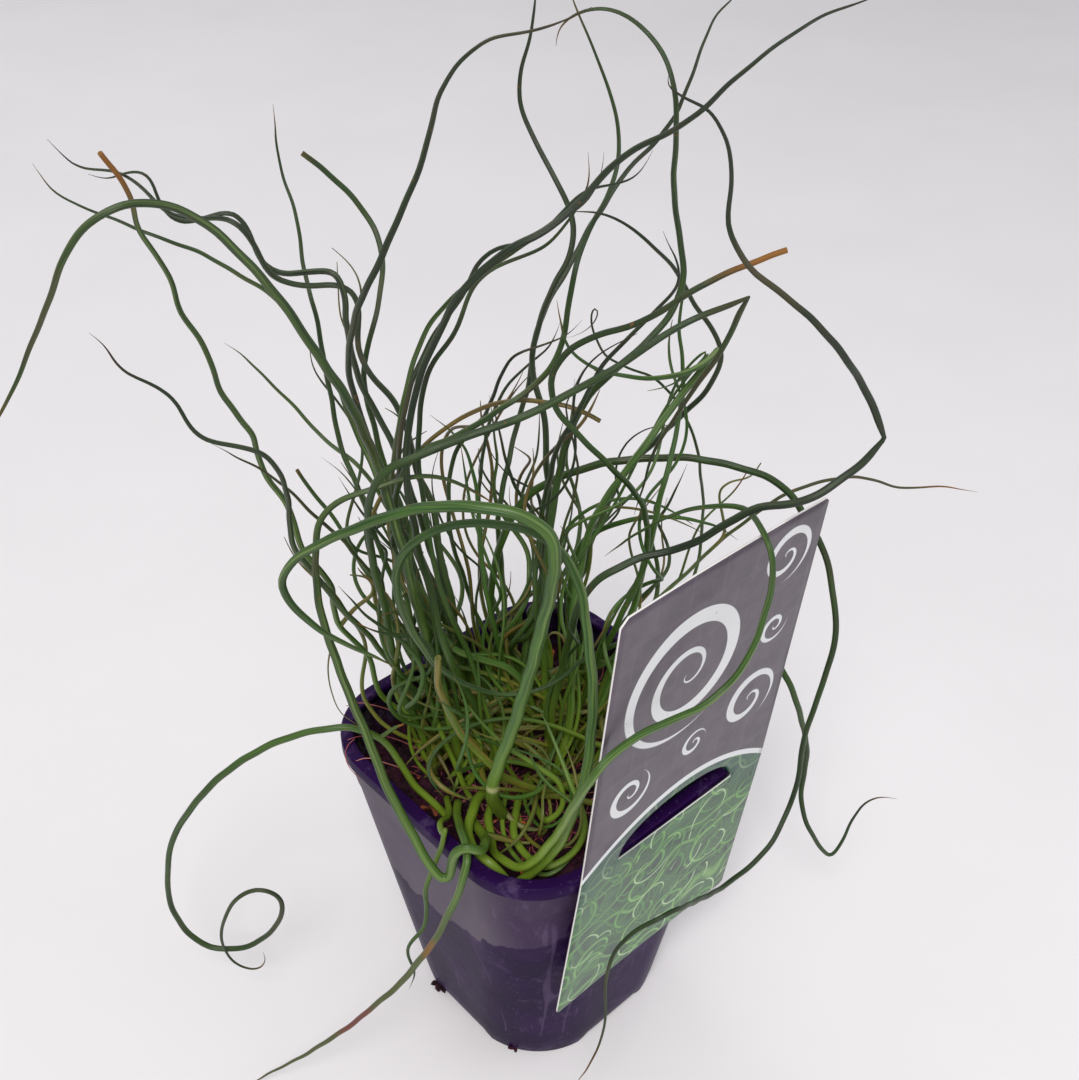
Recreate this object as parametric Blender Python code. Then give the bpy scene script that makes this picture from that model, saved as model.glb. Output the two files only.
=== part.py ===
"""Potted soft rush: a square nursery pot with rounded corners, its soil, a hook-on label and the
curling stems, each a solid of its own. Metres, +Z up, table at z = 0, label on the -Y side."""
import math
import random

import bmesh
import bpy
import numpy as np
from mathutils import Vector

MM = 0.001
GAP = 0.3 * MM                      # between pieces that touch

# Pot
RIM_HALF = 45.0 * MM
POT_HEIGHT = 100.0 * MM
RIM_CORNER = 22.0 * MM
BASE_HALF = 32.0 * MM
BASE_CORNER = 24.0 * MM
WALL = 1.2 * MM
COLLAR_HEIGHT = 4.5 * MM
COLLAR_STEP = 1.4 * MM              # how far the collar stands out from the wall
LIP_WIDTH = 3.6 * MM
LIP_BEAD = 2.0 * MM                 # depth of the lip's inner edge
EDGE = 0.6 * MM
FLOOR = 1.4 * MM
CHANNEL_DEPTH = 2.0 * MM            # drain channels between the corner feet
PAD_HALF = 16.0 * MM
DRAIN_RADIUS = 1.9 * MM
DRAIN_PLACE = 24.0 * MM
DRAIN_SIDES = 10
DIAGONALS = tuple(math.radians(degrees) for degrees in (45, 135, 225, 315))
CORNER_ANGLES = (-45, -39, -35, -18, 0, 18, 35, 39, 45)
CORNER_RECESS = (1, 1, 0, 0, 0, 0, 0, 1, 1)

# Soil
SOIL_TOP = 89.0 * MM
SOIL_EDGE_DROP = 2.0 * MM
SOIL_FLAT = 0.86                    # share of the soil's width that is level

# Label
LABEL_WIDTH = 67.0 * MM
LABEL_ABOVE = 88.0 * MM
LABEL_BELOW = 59.0 * MM
LABEL_THICK = 0.5 * MM
LABEL_CENTRE_X = 4.6 * MM
LABEL_Y = -46.2 * MM
LABEL_LINE_Z = 99.7 * MM            # the slot's lower edge
LABEL_LEAN = 0.083                  # upper part, outward
LABEL_TUCK = 0.112                  # lower part, in toward the wall
LABEL_TURN = 0.023                  # in its own plane
LABEL_CHAMFER = 2.0 * MM
SLOT_HALF = 21.0 * MM
SLOT_HEIGHT = 11.0 * MM
SLOT_STEPS = 8
SLOT_FULLNESS = 0.8                 # power of the slot's arc, rounder under 1
TONGUE_SHARE = 0.97                 # tongue width over slot width
TONGUE_Y = -40.3 * MM
TONGUE_TOP_Z = 101.6 * MM
TONGUE_END_Z = 94.5 * MM

# The camera of the photograph, in the pot's frame
EYE = Vector((-0.1765, -0.1932, 0.3645))
HEADING = math.radians(90.0 - 42.4)
PITCH_DOWN = 0.6522
FOCAL_PX = 1349.8
CENTRE_PX = (539.5, 540.0)

# Stems
STEM_TOLERANCE = 0.58 * MM          # between the traced curve and the solid's straight runs
STEM_CORNER = 1.1                   # a four-sided run's corner radius over the stem's radius
TAPER = 0.3                         # radius lost evenly from base to tip
TIP_SHARE = 0.17                    # tip radius of a pointed stem over its base radius
TIP_POWER = 5                       # higher keeps the taper to the last of the stem
CURVE_STEP = 1.2 * MM
CURL_DEPTH = 4.0 * MM               # sway along the line of sight, which the photograph hides
CURL_LENGTH = 62.0 * MM
CURL_START = 45.0 * MM              # length over which the sway grows from the base
INNER_RADIUS = 1.0
INNER_POINTS = 11
INNER_TURNS = (1.2, 2.0)
INNER_LEAN_POWER = 1.3              # leans more toward the top
INNER_RISE_POWER = 0.9
SEED = 11

# Spacing of the stems
RELAX_ROUNDS = 260
PAIRS_EVERY = 8                     # rounds between two searches for close runs
PAIR_REACH = 6.0 * MM
PUSH = 0.55                         # share of a missing distance that each side moves in a round
END_SHARE = 0.4                     # of a push, for the run's end that is further from it
RUN_SAMPLES = 6                     # points along a run that are kept off the other pieces
CLEAR = 2 * GAP                     # kept from the pot and the label
LIP_STEP = 3.0 * MM                 # a run this much too low still goes over the lip
LABEL_STEP = 5.0 * MM               # and over the label's top edge

COLOURS = {
    "pot": ((0.030, 0.022, 0.060, 1.0), 0.25),
    "soil": ((0.035, 0.020, 0.015, 1.0), 0.95),
    "label": ((0.33, 0.31, 0.36, 1.0), 0.45),
    "green": ((0.075, 0.17, 0.055, 1.0), 0.45),
    "dark": ((0.035, 0.075, 0.055, 1.0), 0.45),
    "bright": ((0.16, 0.33, 0.05, 1.0), 0.45),
    "brown": ((0.16, 0.085, 0.03, 1.0), 0.5),
}

# Every route runs from the base on the soil to the tip, in pixels of the photograph. A third
# value is how far behind the pot's axis the point lies, in millimetres, and is shared out evenly
# over the points between two that state it.
STEMS = {
    "far_left_arch": (1.55, "green", [
        (462, 770), (436, 660), (400, 540), (372, 450, -20), (341, 389), (296, 324), (258, 272),
        (207, 225, -30), (162, 203), (120, 202), (86, 224), (69, 248), (52, 293), (34, 339),
        (21, 372), (0, 413, -42), (-22, 452, -44)]),
    "left_thin": (1.0, "green", [
        (470, 742), (430, 620), (395, 520), (360, 440), (330, 370, 18), (300, 325), (272, 296),
        (220, 263), (165, 239), (103, 216), (69, 201), (45, 183), (32, 163, 46)]),
    "left_twist_a": (1.3, "dark", [
        (488, 742), (455, 620), (428, 510), (408, 440), (396, 400, 8), (379, 384), (362, 368),
        (355, 345), (361, 317), (358, 294), (344, 287), (296, 287), (275, 278), (262, 262),
        (248, 234), (234, 220), (200, 217), (179, 219), (162, 210), (145, 193), (131, 179),
        (117, 170), (96, 171), (70, 164), (47, 139, 16)]),
    "left_twist_b": (1.3, "dark", [
        (478, 728), (448, 610), (418, 500), (385, 430), (362, 385, 14), (350, 350), (346, 310),
        (343, 282), (334, 271), (310, 271), (282, 276), (265, 268), (251, 246), (246, 222),
        (234, 210), (220, 212), (203, 221), (182, 225), (163, 214), (155, 194), (149, 174),
        (141, 169), (122, 175), (103, 180), (88, 174, 21)]),
    "orange_left": (1.2, "green", [
        (438, 745), (400, 712), (377, 688, 2), (372, 660), (342, 629), (332, 604), (331, 582),
        (304, 555), (295, 535), (291, 508), (268, 479), (257, 458), (254, 436), (230, 405),
        (215, 384), (211, 359), (202, 338), (182, 318), (174, 296), (168, 270), (151, 248),
        (138, 229), (132, 207), (127, 188), (114, 172), (100, 153, -18)]),
    "left_low": (1.05, "dark", [
        (452, 762), (420, 700), (372, 640), (325, 590), (293, 545, -22), (289, 510), (280, 470),
        (262, 453), (222, 443), (200, 438), (187, 424), (178, 403), (163, 389), (125, 374),
        (113, 357), (105, 343), (89, 333, -40)]),
    "left_brown": (0.9, "brown", [
        (446, 728), (410, 640), (370, 572), (344, 542), (316, 517), (291, 491), (263, 471),
        (237, 456), (212, 444, -28)]),
    "left_mid": (0.95, "green", [
        (466, 720), (430, 610), (398, 525), (357, 466), (321, 438), (288, 399), (250, 365),
        (237, 350), (224, 343, 36)]),
    "thin_tall": (1.2, "green", [
        (478, 758), (440, 690), (402, 610), (365, 515), (341, 440), (328, 390, 30), (321, 340),
        (307, 282), (300, 241), (292, 200), (279, 162), (275, 131), (273, 104, 62)]),
    "cut_tall": (1.2, "green", [
        (500, 748), (445, 620), (405, 520), (380, 450), (367, 400, 24), (364, 355), (372, 331),
        (380, 303), (383, 268), (379, 241), (368, 217), (351, 193), (327, 172), (302, 153, 50)]),
    "great_arch": (1.35, "dark", [
        (508, 738), (440, 600), (398, 510), (365, 430, -8), (350, 380), (350, 337), (358, 308),
        (382, 255), (413, 186), (425, 150), (441, 90), (458, 62), (482, 43), (510, 33),
        (545, 28), (572, 18), (592, 7, -30)]),
    "top_s": (1.35, "dark", [
        (520, 728), (530, 640), (544, 560), (551, 477, 18), (544, 414), (532, 366), (540, 317),
        (563, 271), (573, 243), (571, 212), (554, 175), (534, 140), (520, 108), (520, 75),
        (531, 30), (536, 0), (538, -28, 34)]),
    "top_bow": (1.2, "green", [
        (456, 748), (430, 650), (405, 550), (398, 490), (417, 451, -6), (466, 429), (508, 405),
        (540, 380), (562, 348), (569, 300), (581, 248), (605, 203), (618, 165), (619, 134),
        (612, 95), (600, 62), (585, 31), (573, 0), (566, -22, 46)]),
    "hook_top": (1.3, "green", [
        (548, 742), (542, 640), (548, 540), (557, 466, 12), (585, 400), (612, 372), (652, 338),
        (677, 305), (684, 274), (678, 225), (673, 186), (677, 127), (672, 72), (660, 48),
        (643, 26), (622, 12), (598, 6), (576, 10), (560, 20), (553, 33), (556, 46, 22)]),
    "top_right": (1.25, "dark", [
        (506, 712), (500, 620), (500, 510), (512, 450), (527, 391), (534, 345, 40), (548, 300),
        (577, 256), (592, 222), (606, 203), (622, 176), (647, 151), (668, 128), (683, 102),
        (693, 72), (702, 45), (715, 17), (732, 0), (748, -16, 84)]),
    "dark_long": (1.6, "dark", [
        (494, 768), (466, 690), (432, 600), (412, 520), (404, 450, -14), (417, 400), (428, 352),
        (448, 318), (466, 285), (500, 255), (545, 232), (574, 203), (598, 182), (622, 158),
        (650, 141), (677, 127), (708, 107), (757, 58), (781, 40), (812, 22), (842, 10),
        (865, 0), (892, -10, -26)]),
    "strand_a": (1.1, "dark", [
        (484, 778), (448, 680), (415, 590), (396, 500), (400, 440, -2), (411, 380), (423, 360),
        (432, 336), (454, 309), (471, 279), (482, 257), (497, 247), (528, 247), (551, 234),
        (563, 217), (580, 195), (600, 186), (634, 180), (646, 170), (653, 150, 2)]),
    "strand_b": (1.15, "green", [
        (472, 792), (440, 700), (408, 600), (392, 520), (394, 450, 6), (403, 397), (416, 352),
        (428, 326), (446, 303), (463, 289), (484, 270), (517, 251), (540, 234), (557, 219),
        (578, 210), (594, 194), (604, 172), (604, 152, 8)]),
    "strand_c": (1.15, "green", [
        (502, 782), (472, 690), (440, 590), (424, 510), (420, 437, -8), (424, 385), (434, 356),
        (452, 338), (464, 315), (469, 292), (484, 272), (503, 260), (523, 250), (544, 243),
        (557, 228), (566, 208), (578, 188), (590, 172), (588, 152, -4)]),
    "kinked_right": (1.4, "dark", [
        (556, 760), (560, 690), (572, 625), (600, 577, -22), (645, 557), (683, 548), (721, 535),
        (759, 520), (791, 507), (826, 490, -24), (853, 472), (874, 450), (884, 438, -26),
        (881, 425), (858, 377), (843, 354), (812, 320), (781, 292), (750, 268), (732, 240),
        (727, 215), (731, 186), (731, 155), (722, 131), (708, 110), (688, 95), (671, 89),
        (665, 81), (669, 74, -34)]),
    "right_thin": (0.8, "brown", [
        (584, 742), (600, 690), (640, 620), (700, 560, 30), (760, 510), (810, 484), (849, 477),
        (871, 479), (905, 489), (938, 486), (978, 492, 44)]),
    "orange_right": (1.3, "green", [
        (574, 728), (598, 660), (633, 593), (648, 545), (643, 510, -2), (627, 483), (603, 460),
        (577, 433), (556, 410), (550, 390), (555, 362), (580, 343), (609, 332), (651, 317),
        (717, 277), (751, 261), (787, 250, -14)]),
    "folded_dark": (1.4, "green", [
        (442, 770), (405, 680), (380, 590), (368, 520), (383, 472, -30), (423, 454), (460, 439),
        (494, 427), (563, 398), (623, 363), (666, 336), (694, 319), (723, 304), (744, 296, -18),
        (749, 297, -16), (747, 303, -14), (737, 323), (711, 366), (683, 403), (656, 448),
        (640, 490), (634, 515, 2)]),
    "arch_mid": (1.15, "dark", [
        (566, 712), (574, 640), (583, 560), (600, 520, 34), (626, 471), (663, 434), (703, 394),
        (721, 368), (723, 350), (711, 328), (694, 303), (680, 277), (660, 253), (637, 231),
        (609, 216), (580, 210), (563, 211, 22)]),
    "curl": (0.85, "green", [
        (594, 726), (640, 660), (685, 600), (700, 550, 40), (703, 505), (700, 463), (693, 437),
        (683, 409), (668, 389), (654, 377), (628, 369), (608, 357), (594, 337), (590, 318),
        (595, 306), (601, 312), (597, 326), (582, 335), (566, 338, 24)]),
    "bright_fold": (1.65, "bright", [
        (552, 776), (568, 690), (574, 610), (585, 545), (604, 500, 8), (628, 469), (648, 443),
        (666, 414), (690, 385), (712, 358), (722, 344, 12), (718, 352), (705, 364), (684, 373),
        (657, 379), (625, 377), (597, 370), (574, 355), (563, 334), (557, 300, 6)]),
    "brown_tip": (1.0, "dark", [
        (534, 714), (536, 620), (540, 540), (550, 480), (560, 440, 2), (577, 408), (603, 365),
        (625, 341), (650, 315), (671, 298), (680, 280), (674, 254), (663, 231, -8)]),
    "right_mid": (1.2, "bright", [
        (580, 758), (610, 680), (638, 590), (655, 520), (666, 477, 10), (674, 437), (683, 405),
        (684, 380), (679, 345), (680, 312), (687, 280), (683, 258, 30)]),
    "olive_arch": (1.15, "brown", [
        (430, 756), (398, 680), (375, 590), (372, 520), (392, 480, 20), (428, 443), (449, 426),
        (474, 410), (500, 403), (529, 400), (557, 403), (580, 409), (600, 421, 8)]),
    "bend_dark_a": (0.95, "dark", [
        (518, 706), (480, 620), (452, 540), (448, 480), (462, 440, 30), (483, 419), (492, 400),
        (499, 380), (507, 361), (520, 351), (551, 343), (566, 338), (575, 331), (582, 320, 18)]),
    "bend_dark_b": (0.95, "dark", [
        (528, 696), (498, 620), (480, 550), (480, 477, 46), (487, 431), (493, 411), (503, 391),
        (514, 377), (529, 363), (543, 354), (556, 338), (560, 322, 52)]),
    "brown_hair": (0.65, "brown", [
        (560, 698), (560, 640), (558, 560), (571, 500), (579, 475), (577, 450), (569, 424),
        (570, 405), (575, 384), (584, 368, -6)]),
    "right_arc": (1.15, "bright", [
        (590, 700), (575, 640), (568, 580), (580, 545, 22), (602, 528), (635, 519), (680, 517),
        (703, 522), (722, 528), (738, 540, 14)]),
    "trail_right_a": (1.4, "green", [
        (514, 690), (495, 600), (500, 540), (518, 506), (545, 484), (580, 470), (600, 464),
        (633, 459), (683, 458, 22), (723, 463), (760, 474), (790, 494), (808, 520), (826, 560),
        (835, 605), (833, 650), (822, 686), (808, 725), (800, 765), (793, 797, -4), (778, 832),
        (755, 862), (724, 886, -24), (694, 902), (668, 914, -50), (640, 928), (620, 944),
        (609, 965), (607, 1000), (603, 1034), (592, 1060, -58), (574, 1086, -60)]),
    "trail_right_b": (1.05, "green", [
        (600, 714), (645, 660), (700, 630), (750, 632, 20), (776, 660), (789, 683), (801, 717),
        (807, 750), (804, 775), (800, 800), (806, 822), (822, 849), (831, 858), (841, 843),
        (850, 824), (865, 803), (880, 795), (897, 799, 10)]),
    "over_label": (1.3, "bright", [
        (498, 806), (488, 815), (482, 832), (486, 850), (498, 865, -45), (511, 871), (525, 867),
        (543, 852), (560, 830), (577, 798), (594, 772, -60), (617, 750), (644, 733), (678, 717),
        (709, 703, -44), (732, 682), (753, 648), (766, 614, -36), (773, 580), (771, 552, -34),
        (765, 528, -29), (757, 517, -24), (748, 510, -18), (735, 506, -12), (717, 505),
        (684, 510), (645, 526), (605, 556, 6)]),
    "big_ring": (1.6, "bright", [
        (490, 792), (478, 800), (472, 815), (474, 838), (484, 860, -44), (499, 877), (512, 884),
        (526, 878), (545, 862), (562, 838), (580, 796, -50), (588, 760), (593, 715),
        (591, 670), (586, 620), (576, 575, -40), (558, 548), (537, 532), (510, 525), (470, 523),
        (437, 529), (407, 546), (396, 568), (398, 595), (410, 628), (432, 660), (463, 684),
        (500, 696), (540, 689), (575, 668), (600, 640), (612, 610, -20)]),
    "bright_front": (1.75, "bright", [
        (502, 818), (495, 803), (492, 788, -34), (500, 765), (514, 722), (522, 700), (537, 637),
        (547, 592), (556, 552, -46), (553, 538), (538, 524), (513, 513), (480, 507), (445, 506),
        (402, 512), (364, 524), (325, 543), (301, 555), (284, 573), (283, 592), (296, 610),
        (319, 629), (342, 642), (372, 657), (398, 668, -30)]),
    "front_arch": (1.4, "green", [
        (470, 822), (478, 846), (477, 866, -47), (469, 880), (459, 877), (444, 862), (428, 841),
        (403, 806), (379, 764), (357, 712, -26), (338, 667), (324, 619), (316, 575), (316, 537),
        (323, 511), (344, 497), (372, 490), (404, 480), (437, 478), (470, 488), (500, 508, -12)]),
    "trail_left": (1.15, "green", [
        (462, 806), (466, 838), (468, 862, -47), (461, 886, -50), (448, 916), (427, 951),
        (408, 975), (381, 999), (352, 1026), (320, 1050), (282, 1073, -47), (250, 1092, -46)]),
    "curly_thin": (0.8, "green", [
        (448, 800), (455, 824), (440, 836, -38), (446, 852, -43), (445, 868), (437, 884),
        (424, 893, -44), (427, 910), (424, 929), (413, 943), (405, 949), (412, 961), (416, 975),
        (409, 989, -44)]),
    "spiral_left": (1.25, "green", [
        (440, 812), (424, 796), (408, 775), (392, 750), (374, 734, -14), (346, 726), (314, 731),
        (285, 739), (255, 752), (226, 772), (202, 795), (183, 819), (171, 846), (167, 873),
        (170, 900), (180, 924), (196, 941), (221, 949), (245, 948), (266, 937), (280, 920),
        (282, 904), (274, 892), (260, 888), (242, 893), (229, 908), (222, 926), (223, 945),
        (231, 961), (247, 971), (261, 970), (268, 961), (263, 952, -22)]),
    "bright_swoop": (1.4, "bright", [
        (586, 778), (570, 786), (554, 791), (532, 789), (509, 779, -26), (487, 762), (463, 736),
        (447, 708), (438, 684), (438, 658, -38)]),
    "front_loop": (1.25, "bright", [
        (516, 800), (511, 814), (510, 832), (516, 851), (530, 863), (545, 867, -43), (561, 865),
        (577, 852), (585, 832), (584, 812), (576, 794, -36), (562, 760), (548, 725),
        (536, 700, -20)]),
    "u_loop": (1.15, "bright", [
        (530, 784), (536, 806), (547, 822, -33), (559, 817), (567, 800), (561, 783), (540, 768),
        (513, 752), (480, 720), (452, 690, -20)]),
    "inner_bright": (1.3, "bright", [
        (540, 728), (526, 690), (509, 667), (482, 657), (456, 646, -4), (432, 620), (416, 590),
        (404, 545), (398, 500), (380, 470, -6)]),
    "mid_upright": (1.0, "bright", [
        (524, 742), (512, 690), (501, 655), (492, 620), (485, 584), (480, 545, 0), (478, 500),
        (470, 460), (452, 430), (430, 415, 10)]),
    "left_hook": (0.75, "green", [
        (430, 736), (396, 640), (374, 560), (362, 500), (345, 476), (336, 466), (327, 462),
        (321, 457, 4)]),
    "left_stub": (1.0, "green", [
        (442, 716), (410, 650), (378, 590), (343, 531), (330, 514), (313, 493), (297, 470, 18)]),
}
BLUNT = ("cut_tall", "orange_right", "orange_left", "left_stub", "bright_swoop", "olive_arch")
STEADY = (
    "trail_left", "curly_thin", "spiral_left", "over_label", "front_loop", "u_loop",
    "trail_right_a", "big_ring", "front_arch", "bright_front", "folded_dark", "bright_swoop")

# Inner stems fill the clump: name, base x and y, lean x and y at the top, height, curl, in mm.
INNER = {
    "inner_back": (6, 16, 14, 34, 96, 7, "green"),
    "inner_back_left": (-8, 18, -30, 40, 88, 9, "dark"),
    "inner_back_right": (18, 16, 40, 30, 92, 8, "green"),
    "inner_right": (22, 2, 46, -6, 80, 9, "dark"),
    "inner_left": (-20, 6, -52, 10, 84, 8, "green"),
    "inner_tall": (10, 8, 14, 34, 96, 10, "dark"),
    "inner_far_back": (-2, 24, 2, 58, 66, 10, "green"),
    "inner_back_tall": (14, 24, 44, 48, 74, 10, "dark"),
}


def material(name):
    """Return a Principled material in one of the named colours."""
    colour, roughness = COLOURS[name]
    made = bpy.data.materials.new(name)
    made.use_nodes = True
    shader = made.node_tree.nodes["Principled BSDF"]
    shader.inputs["Base Color"].default_value = colour
    shader.inputs["Roughness"].default_value = roughness
    shader.inputs["Metallic"].default_value = 0.0
    return made


def add_object(name, mesh, colour, smooth=True):
    """Put a mesh in the scene as a named object with its own material."""
    made = bpy.data.objects.new(name, mesh)
    bpy.context.scene.collection.objects.link(made)
    finish = material(colour)
    finish.name = name + "_finish"
    mesh.materials.append(finish)
    if smooth:
        for face in mesh.polygons:
            face.use_smooth = True
    return made


def square_ring(half, corner, z, recess=0.0):
    """Return the points of a rounded square, lifted by the recess between its corners."""
    points = []
    for diagonal in DIAGONALS:
        centre_x = math.copysign(half - corner, math.cos(diagonal))
        centre_y = math.copysign(half - corner, math.sin(diagonal))
        for degrees, lifted in zip(CORNER_ANGLES, CORNER_RECESS):
            angle = diagonal + math.radians(degrees)
            x = centre_x + corner * math.cos(angle)
            y = centre_y + corner * math.sin(angle)
            points.append((x, y, z + recess * lifted))
    return points


def loft(name, rings):
    """Join rings of equal length into a closed mesh with flat ends."""
    shape = bmesh.new()
    rows = []
    for ring in rings:
        rows.append([shape.verts.new(point) for point in ring])
    count = len(rows[0])
    for lower, upper in zip(rows, rows[1:]):
        for i in range(count):
            j = (i + 1) % count
            shape.faces.new((lower[i], lower[j], upper[j], upper[i]))
    shape.faces.new(list(reversed(rows[0])))
    shape.faces.new(rows[-1])
    bmesh.ops.recalc_face_normals(shape, faces=shape.faces)
    mesh = bpy.data.meshes.new(name)
    shape.to_mesh(mesh)
    shape.free()
    return mesh


def wall_half(z):
    """Outer half width of the tapering wall at a height."""
    top = RIM_HALF - COLLAR_STEP
    share = z / (POT_HEIGHT - COLLAR_HEIGHT)
    return BASE_HALF + (top - BASE_HALF) * share


def wall_corner(z):
    """Outer corner radius of the wall at a height."""
    top = RIM_CORNER - COLLAR_STEP
    share = z / (POT_HEIGHT - COLLAR_HEIGHT)
    return BASE_CORNER + (top - BASE_CORNER) * share


def inner_ring(z, inset=0.0, recess=0.0):
    """A ring on the pot's inner wall, or inside it by the inset."""
    off = WALL + inset
    return square_ring(wall_half(z) - off, wall_corner(z) - off, z, recess)


def drain_cutter():
    """Return one object with the four drain pins, used to cut the pot's floor."""
    shape = bmesh.new()
    for quarter in range(4):
        angle = math.radians(90 * quarter)
        made = bmesh.ops.create_cone(
            shape, cap_ends=True, segments=DRAIN_SIDES, radius1=DRAIN_RADIUS, radius2=DRAIN_RADIUS,
            depth=4 * CHANNEL_DEPTH)
        place = Vector((math.cos(angle), math.sin(angle), 0.0)) * DRAIN_PLACE
        place.z = CHANNEL_DEPTH
        bmesh.ops.translate(shape, verts=made["verts"], vec=place)
    mesh = bpy.data.meshes.new("drain_cutter")
    shape.to_mesh(mesh)
    shape.free()
    cutter = bpy.data.objects.new("drain_cutter", mesh)
    bpy.context.scene.collection.objects.link(cutter)
    cutter.hide_render = True
    cutter.display_type = "WIRE"
    return cutter


def build_pot():
    """One moulded vessel: feet and channels, tapering wall, collar, lip and drain holes."""
    collar_z = POT_HEIGHT - COLLAR_HEIGHT
    lip_half = RIM_HALF - LIP_WIDTH
    lip_corner = RIM_CORNER - LIP_WIDTH
    bead_z = POT_HEIGHT - LIP_BEAD
    floor_z = FLOOR
    pad_share = PAD_HALF / BASE_HALF
    pad_corner = BASE_CORNER * pad_share
    step = CHANNEL_DEPTH
    rings = [
        square_ring(PAD_HALF, pad_corner, 0.0),
        square_ring(PAD_HALF + step, pad_corner + step, 0.0, CHANNEL_DEPTH),
        square_ring(BASE_HALF - EDGE, BASE_CORNER - EDGE, 0.0, CHANNEL_DEPTH),
        square_ring(BASE_HALF, BASE_CORNER, EDGE, CHANNEL_DEPTH),
        square_ring(wall_half(collar_z), wall_corner(collar_z), collar_z),
        square_ring(RIM_HALF, RIM_CORNER, collar_z + EDGE / 2),
        square_ring(RIM_HALF, RIM_CORNER, POT_HEIGHT - EDGE),
        square_ring(RIM_HALF - EDGE, RIM_CORNER - EDGE, POT_HEIGHT),
        square_ring(lip_half + EDGE, lip_corner + EDGE, POT_HEIGHT),
        square_ring(lip_half, lip_corner, POT_HEIGHT - EDGE),
        square_ring(lip_half, lip_corner, bead_z),
        inner_ring(bead_z - EDGE),
        inner_ring(floor_z, 0.0, CHANNEL_DEPTH),
        square_ring(PAD_HALF + step, pad_corner + step, floor_z, CHANNEL_DEPTH),
        square_ring(PAD_HALF, pad_corner, floor_z),
    ]
    pot = add_object("pot", loft("pot", rings), "pot")
    cut = pot.modifiers.new("drain_holes", "BOOLEAN")
    cut.operation = "DIFFERENCE"
    cut.object = drain_cutter()
    return pot


def build_soil():
    """The block of peat, a gap inside the pot's wall and floor, level where the stems stand."""
    low_z = FLOOR + GAP
    top_edge = SOIL_TOP - SOIL_EDGE_DROP
    off = WALL + GAP
    edge_half = wall_half(top_edge) - off
    edge_corner = wall_corner(top_edge) - off
    pad_corner = BASE_CORNER * PAD_HALF / BASE_HALF
    step = CHANNEL_DEPTH
    rings = [
        square_ring(PAD_HALF - GAP, pad_corner - GAP, low_z + CHANNEL_DEPTH),
        square_ring(PAD_HALF + step, pad_corner + step, low_z + CHANNEL_DEPTH),
        inner_ring(low_z + CHANNEL_DEPTH, GAP * 2),
        inner_ring(low_z + CHANNEL_DEPTH * 2, GAP * 2),
        square_ring(edge_half, edge_corner, top_edge),
        square_ring(edge_half * SOIL_FLAT, edge_corner * SOIL_FLAT, SOIL_TOP),
    ]
    return add_object("soil", loft("soil", rings), "soil")


def label_point(across, up):
    """Place a point of the flat label: across from its centre and up from the slot's edge."""
    turned_u = across * math.cos(LABEL_TURN) + up * math.sin(LABEL_TURN)
    turned_v = up * math.cos(LABEL_TURN) - across * math.sin(LABEL_TURN)
    tilt = LABEL_LEAN if turned_v > 0 else LABEL_TUCK
    y = LABEL_Y - turned_v * math.sin(tilt)
    z = LABEL_LINE_Z + turned_v * math.cos(tilt)
    return Vector((LABEL_CENTRE_X + turned_u, y, z))


def slot_arc():
    """Across and up of the slot's upper edge, from left to right."""
    arc = []
    for i in range(SLOT_STEPS + 1):
        angle = math.pi * (1 - i / SLOT_STEPS)
        rise = SLOT_HEIGHT * math.sin(angle) ** SLOT_FULLNESS
        arc.append((SLOT_HALF * math.cos(angle), rise))
    return arc


def label_card(shape, arc):
    """Add the flat card around the slot, and return the points of the slot's edge."""
    half = LABEL_WIDTH / 2
    chamfer = LABEL_CHAMFER
    small = chamfer / 2

    def corner(across, up):
        return shape.verts.new(label_point(across, up))

    edge = [corner(across, up) for across, up in arc]
    top = [corner(-half + chamfer, LABEL_ABOVE)]
    for across, _ in arc[1:-1]:
        top.append(corner(across, LABEL_ABOVE))
    top.append(corner(half - small, LABEL_ABOVE))
    left_top = corner(-half, LABEL_ABOVE - chamfer)
    right_top = corner(half, LABEL_ABOVE - small)
    left_line = corner(-half, 0.0)
    right_line = corner(half, 0.0)
    left_foot = corner(-half, -LABEL_BELOW + small)
    right_foot = corner(half, -LABEL_BELOW + small)
    foot_left = corner(-half + small, -LABEL_BELOW)
    foot_right = corner(half - small, -LABEL_BELOW)
    for i in range(SLOT_STEPS):
        shape.faces.new((edge[i], edge[i + 1], top[i + 1], top[i]))
    shape.faces.new((left_line, edge[0], top[0], left_top))
    shape.faces.new((edge[-1], right_line, right_top, top[-1]))
    shape.faces.new((left_foot, foot_left, edge[0], left_line))
    shape.faces.new((foot_left, foot_right, edge[-1], edge[0]))
    shape.faces.new((foot_right, right_foot, right_line, edge[-1]))
    return edge


def label_tongue(shape, arc, edge):
    """Add the tongue, hinged on the slot's upper edge and bent down behind the lip."""
    rows = [edge[1:-1]]
    for z in (TONGUE_TOP_Z, TONGUE_END_Z):
        row = []
        for across, _ in arc[1:-1]:
            row.append(shape.verts.new((LABEL_CENTRE_X + across * TONGUE_SHARE, TONGUE_Y, z)))
        rows.append(row)
    for upper, lower in zip(rows, rows[1:]):
        for i in range(len(upper) - 1):
            shape.faces.new((upper[i], lower[i], lower[i + 1], upper[i + 1]))


def build_label():
    """A card with a lens-shaped slot for the lip and a tongue bent in behind it."""
    shape = bmesh.new()
    arc = slot_arc()
    edge = label_card(shape, arc)
    label_tongue(shape, arc, edge)
    bmesh.ops.recalc_face_normals(shape, faces=shape.faces)
    mesh = bpy.data.meshes.new("label")
    shape.to_mesh(mesh)
    shape.free()
    label = add_object("label", mesh, "label", smooth=False)
    thick = label.modifiers.new("card", "SOLIDIFY")
    thick.thickness = LABEL_THICK
    thick.offset = 0.0
    return label


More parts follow.
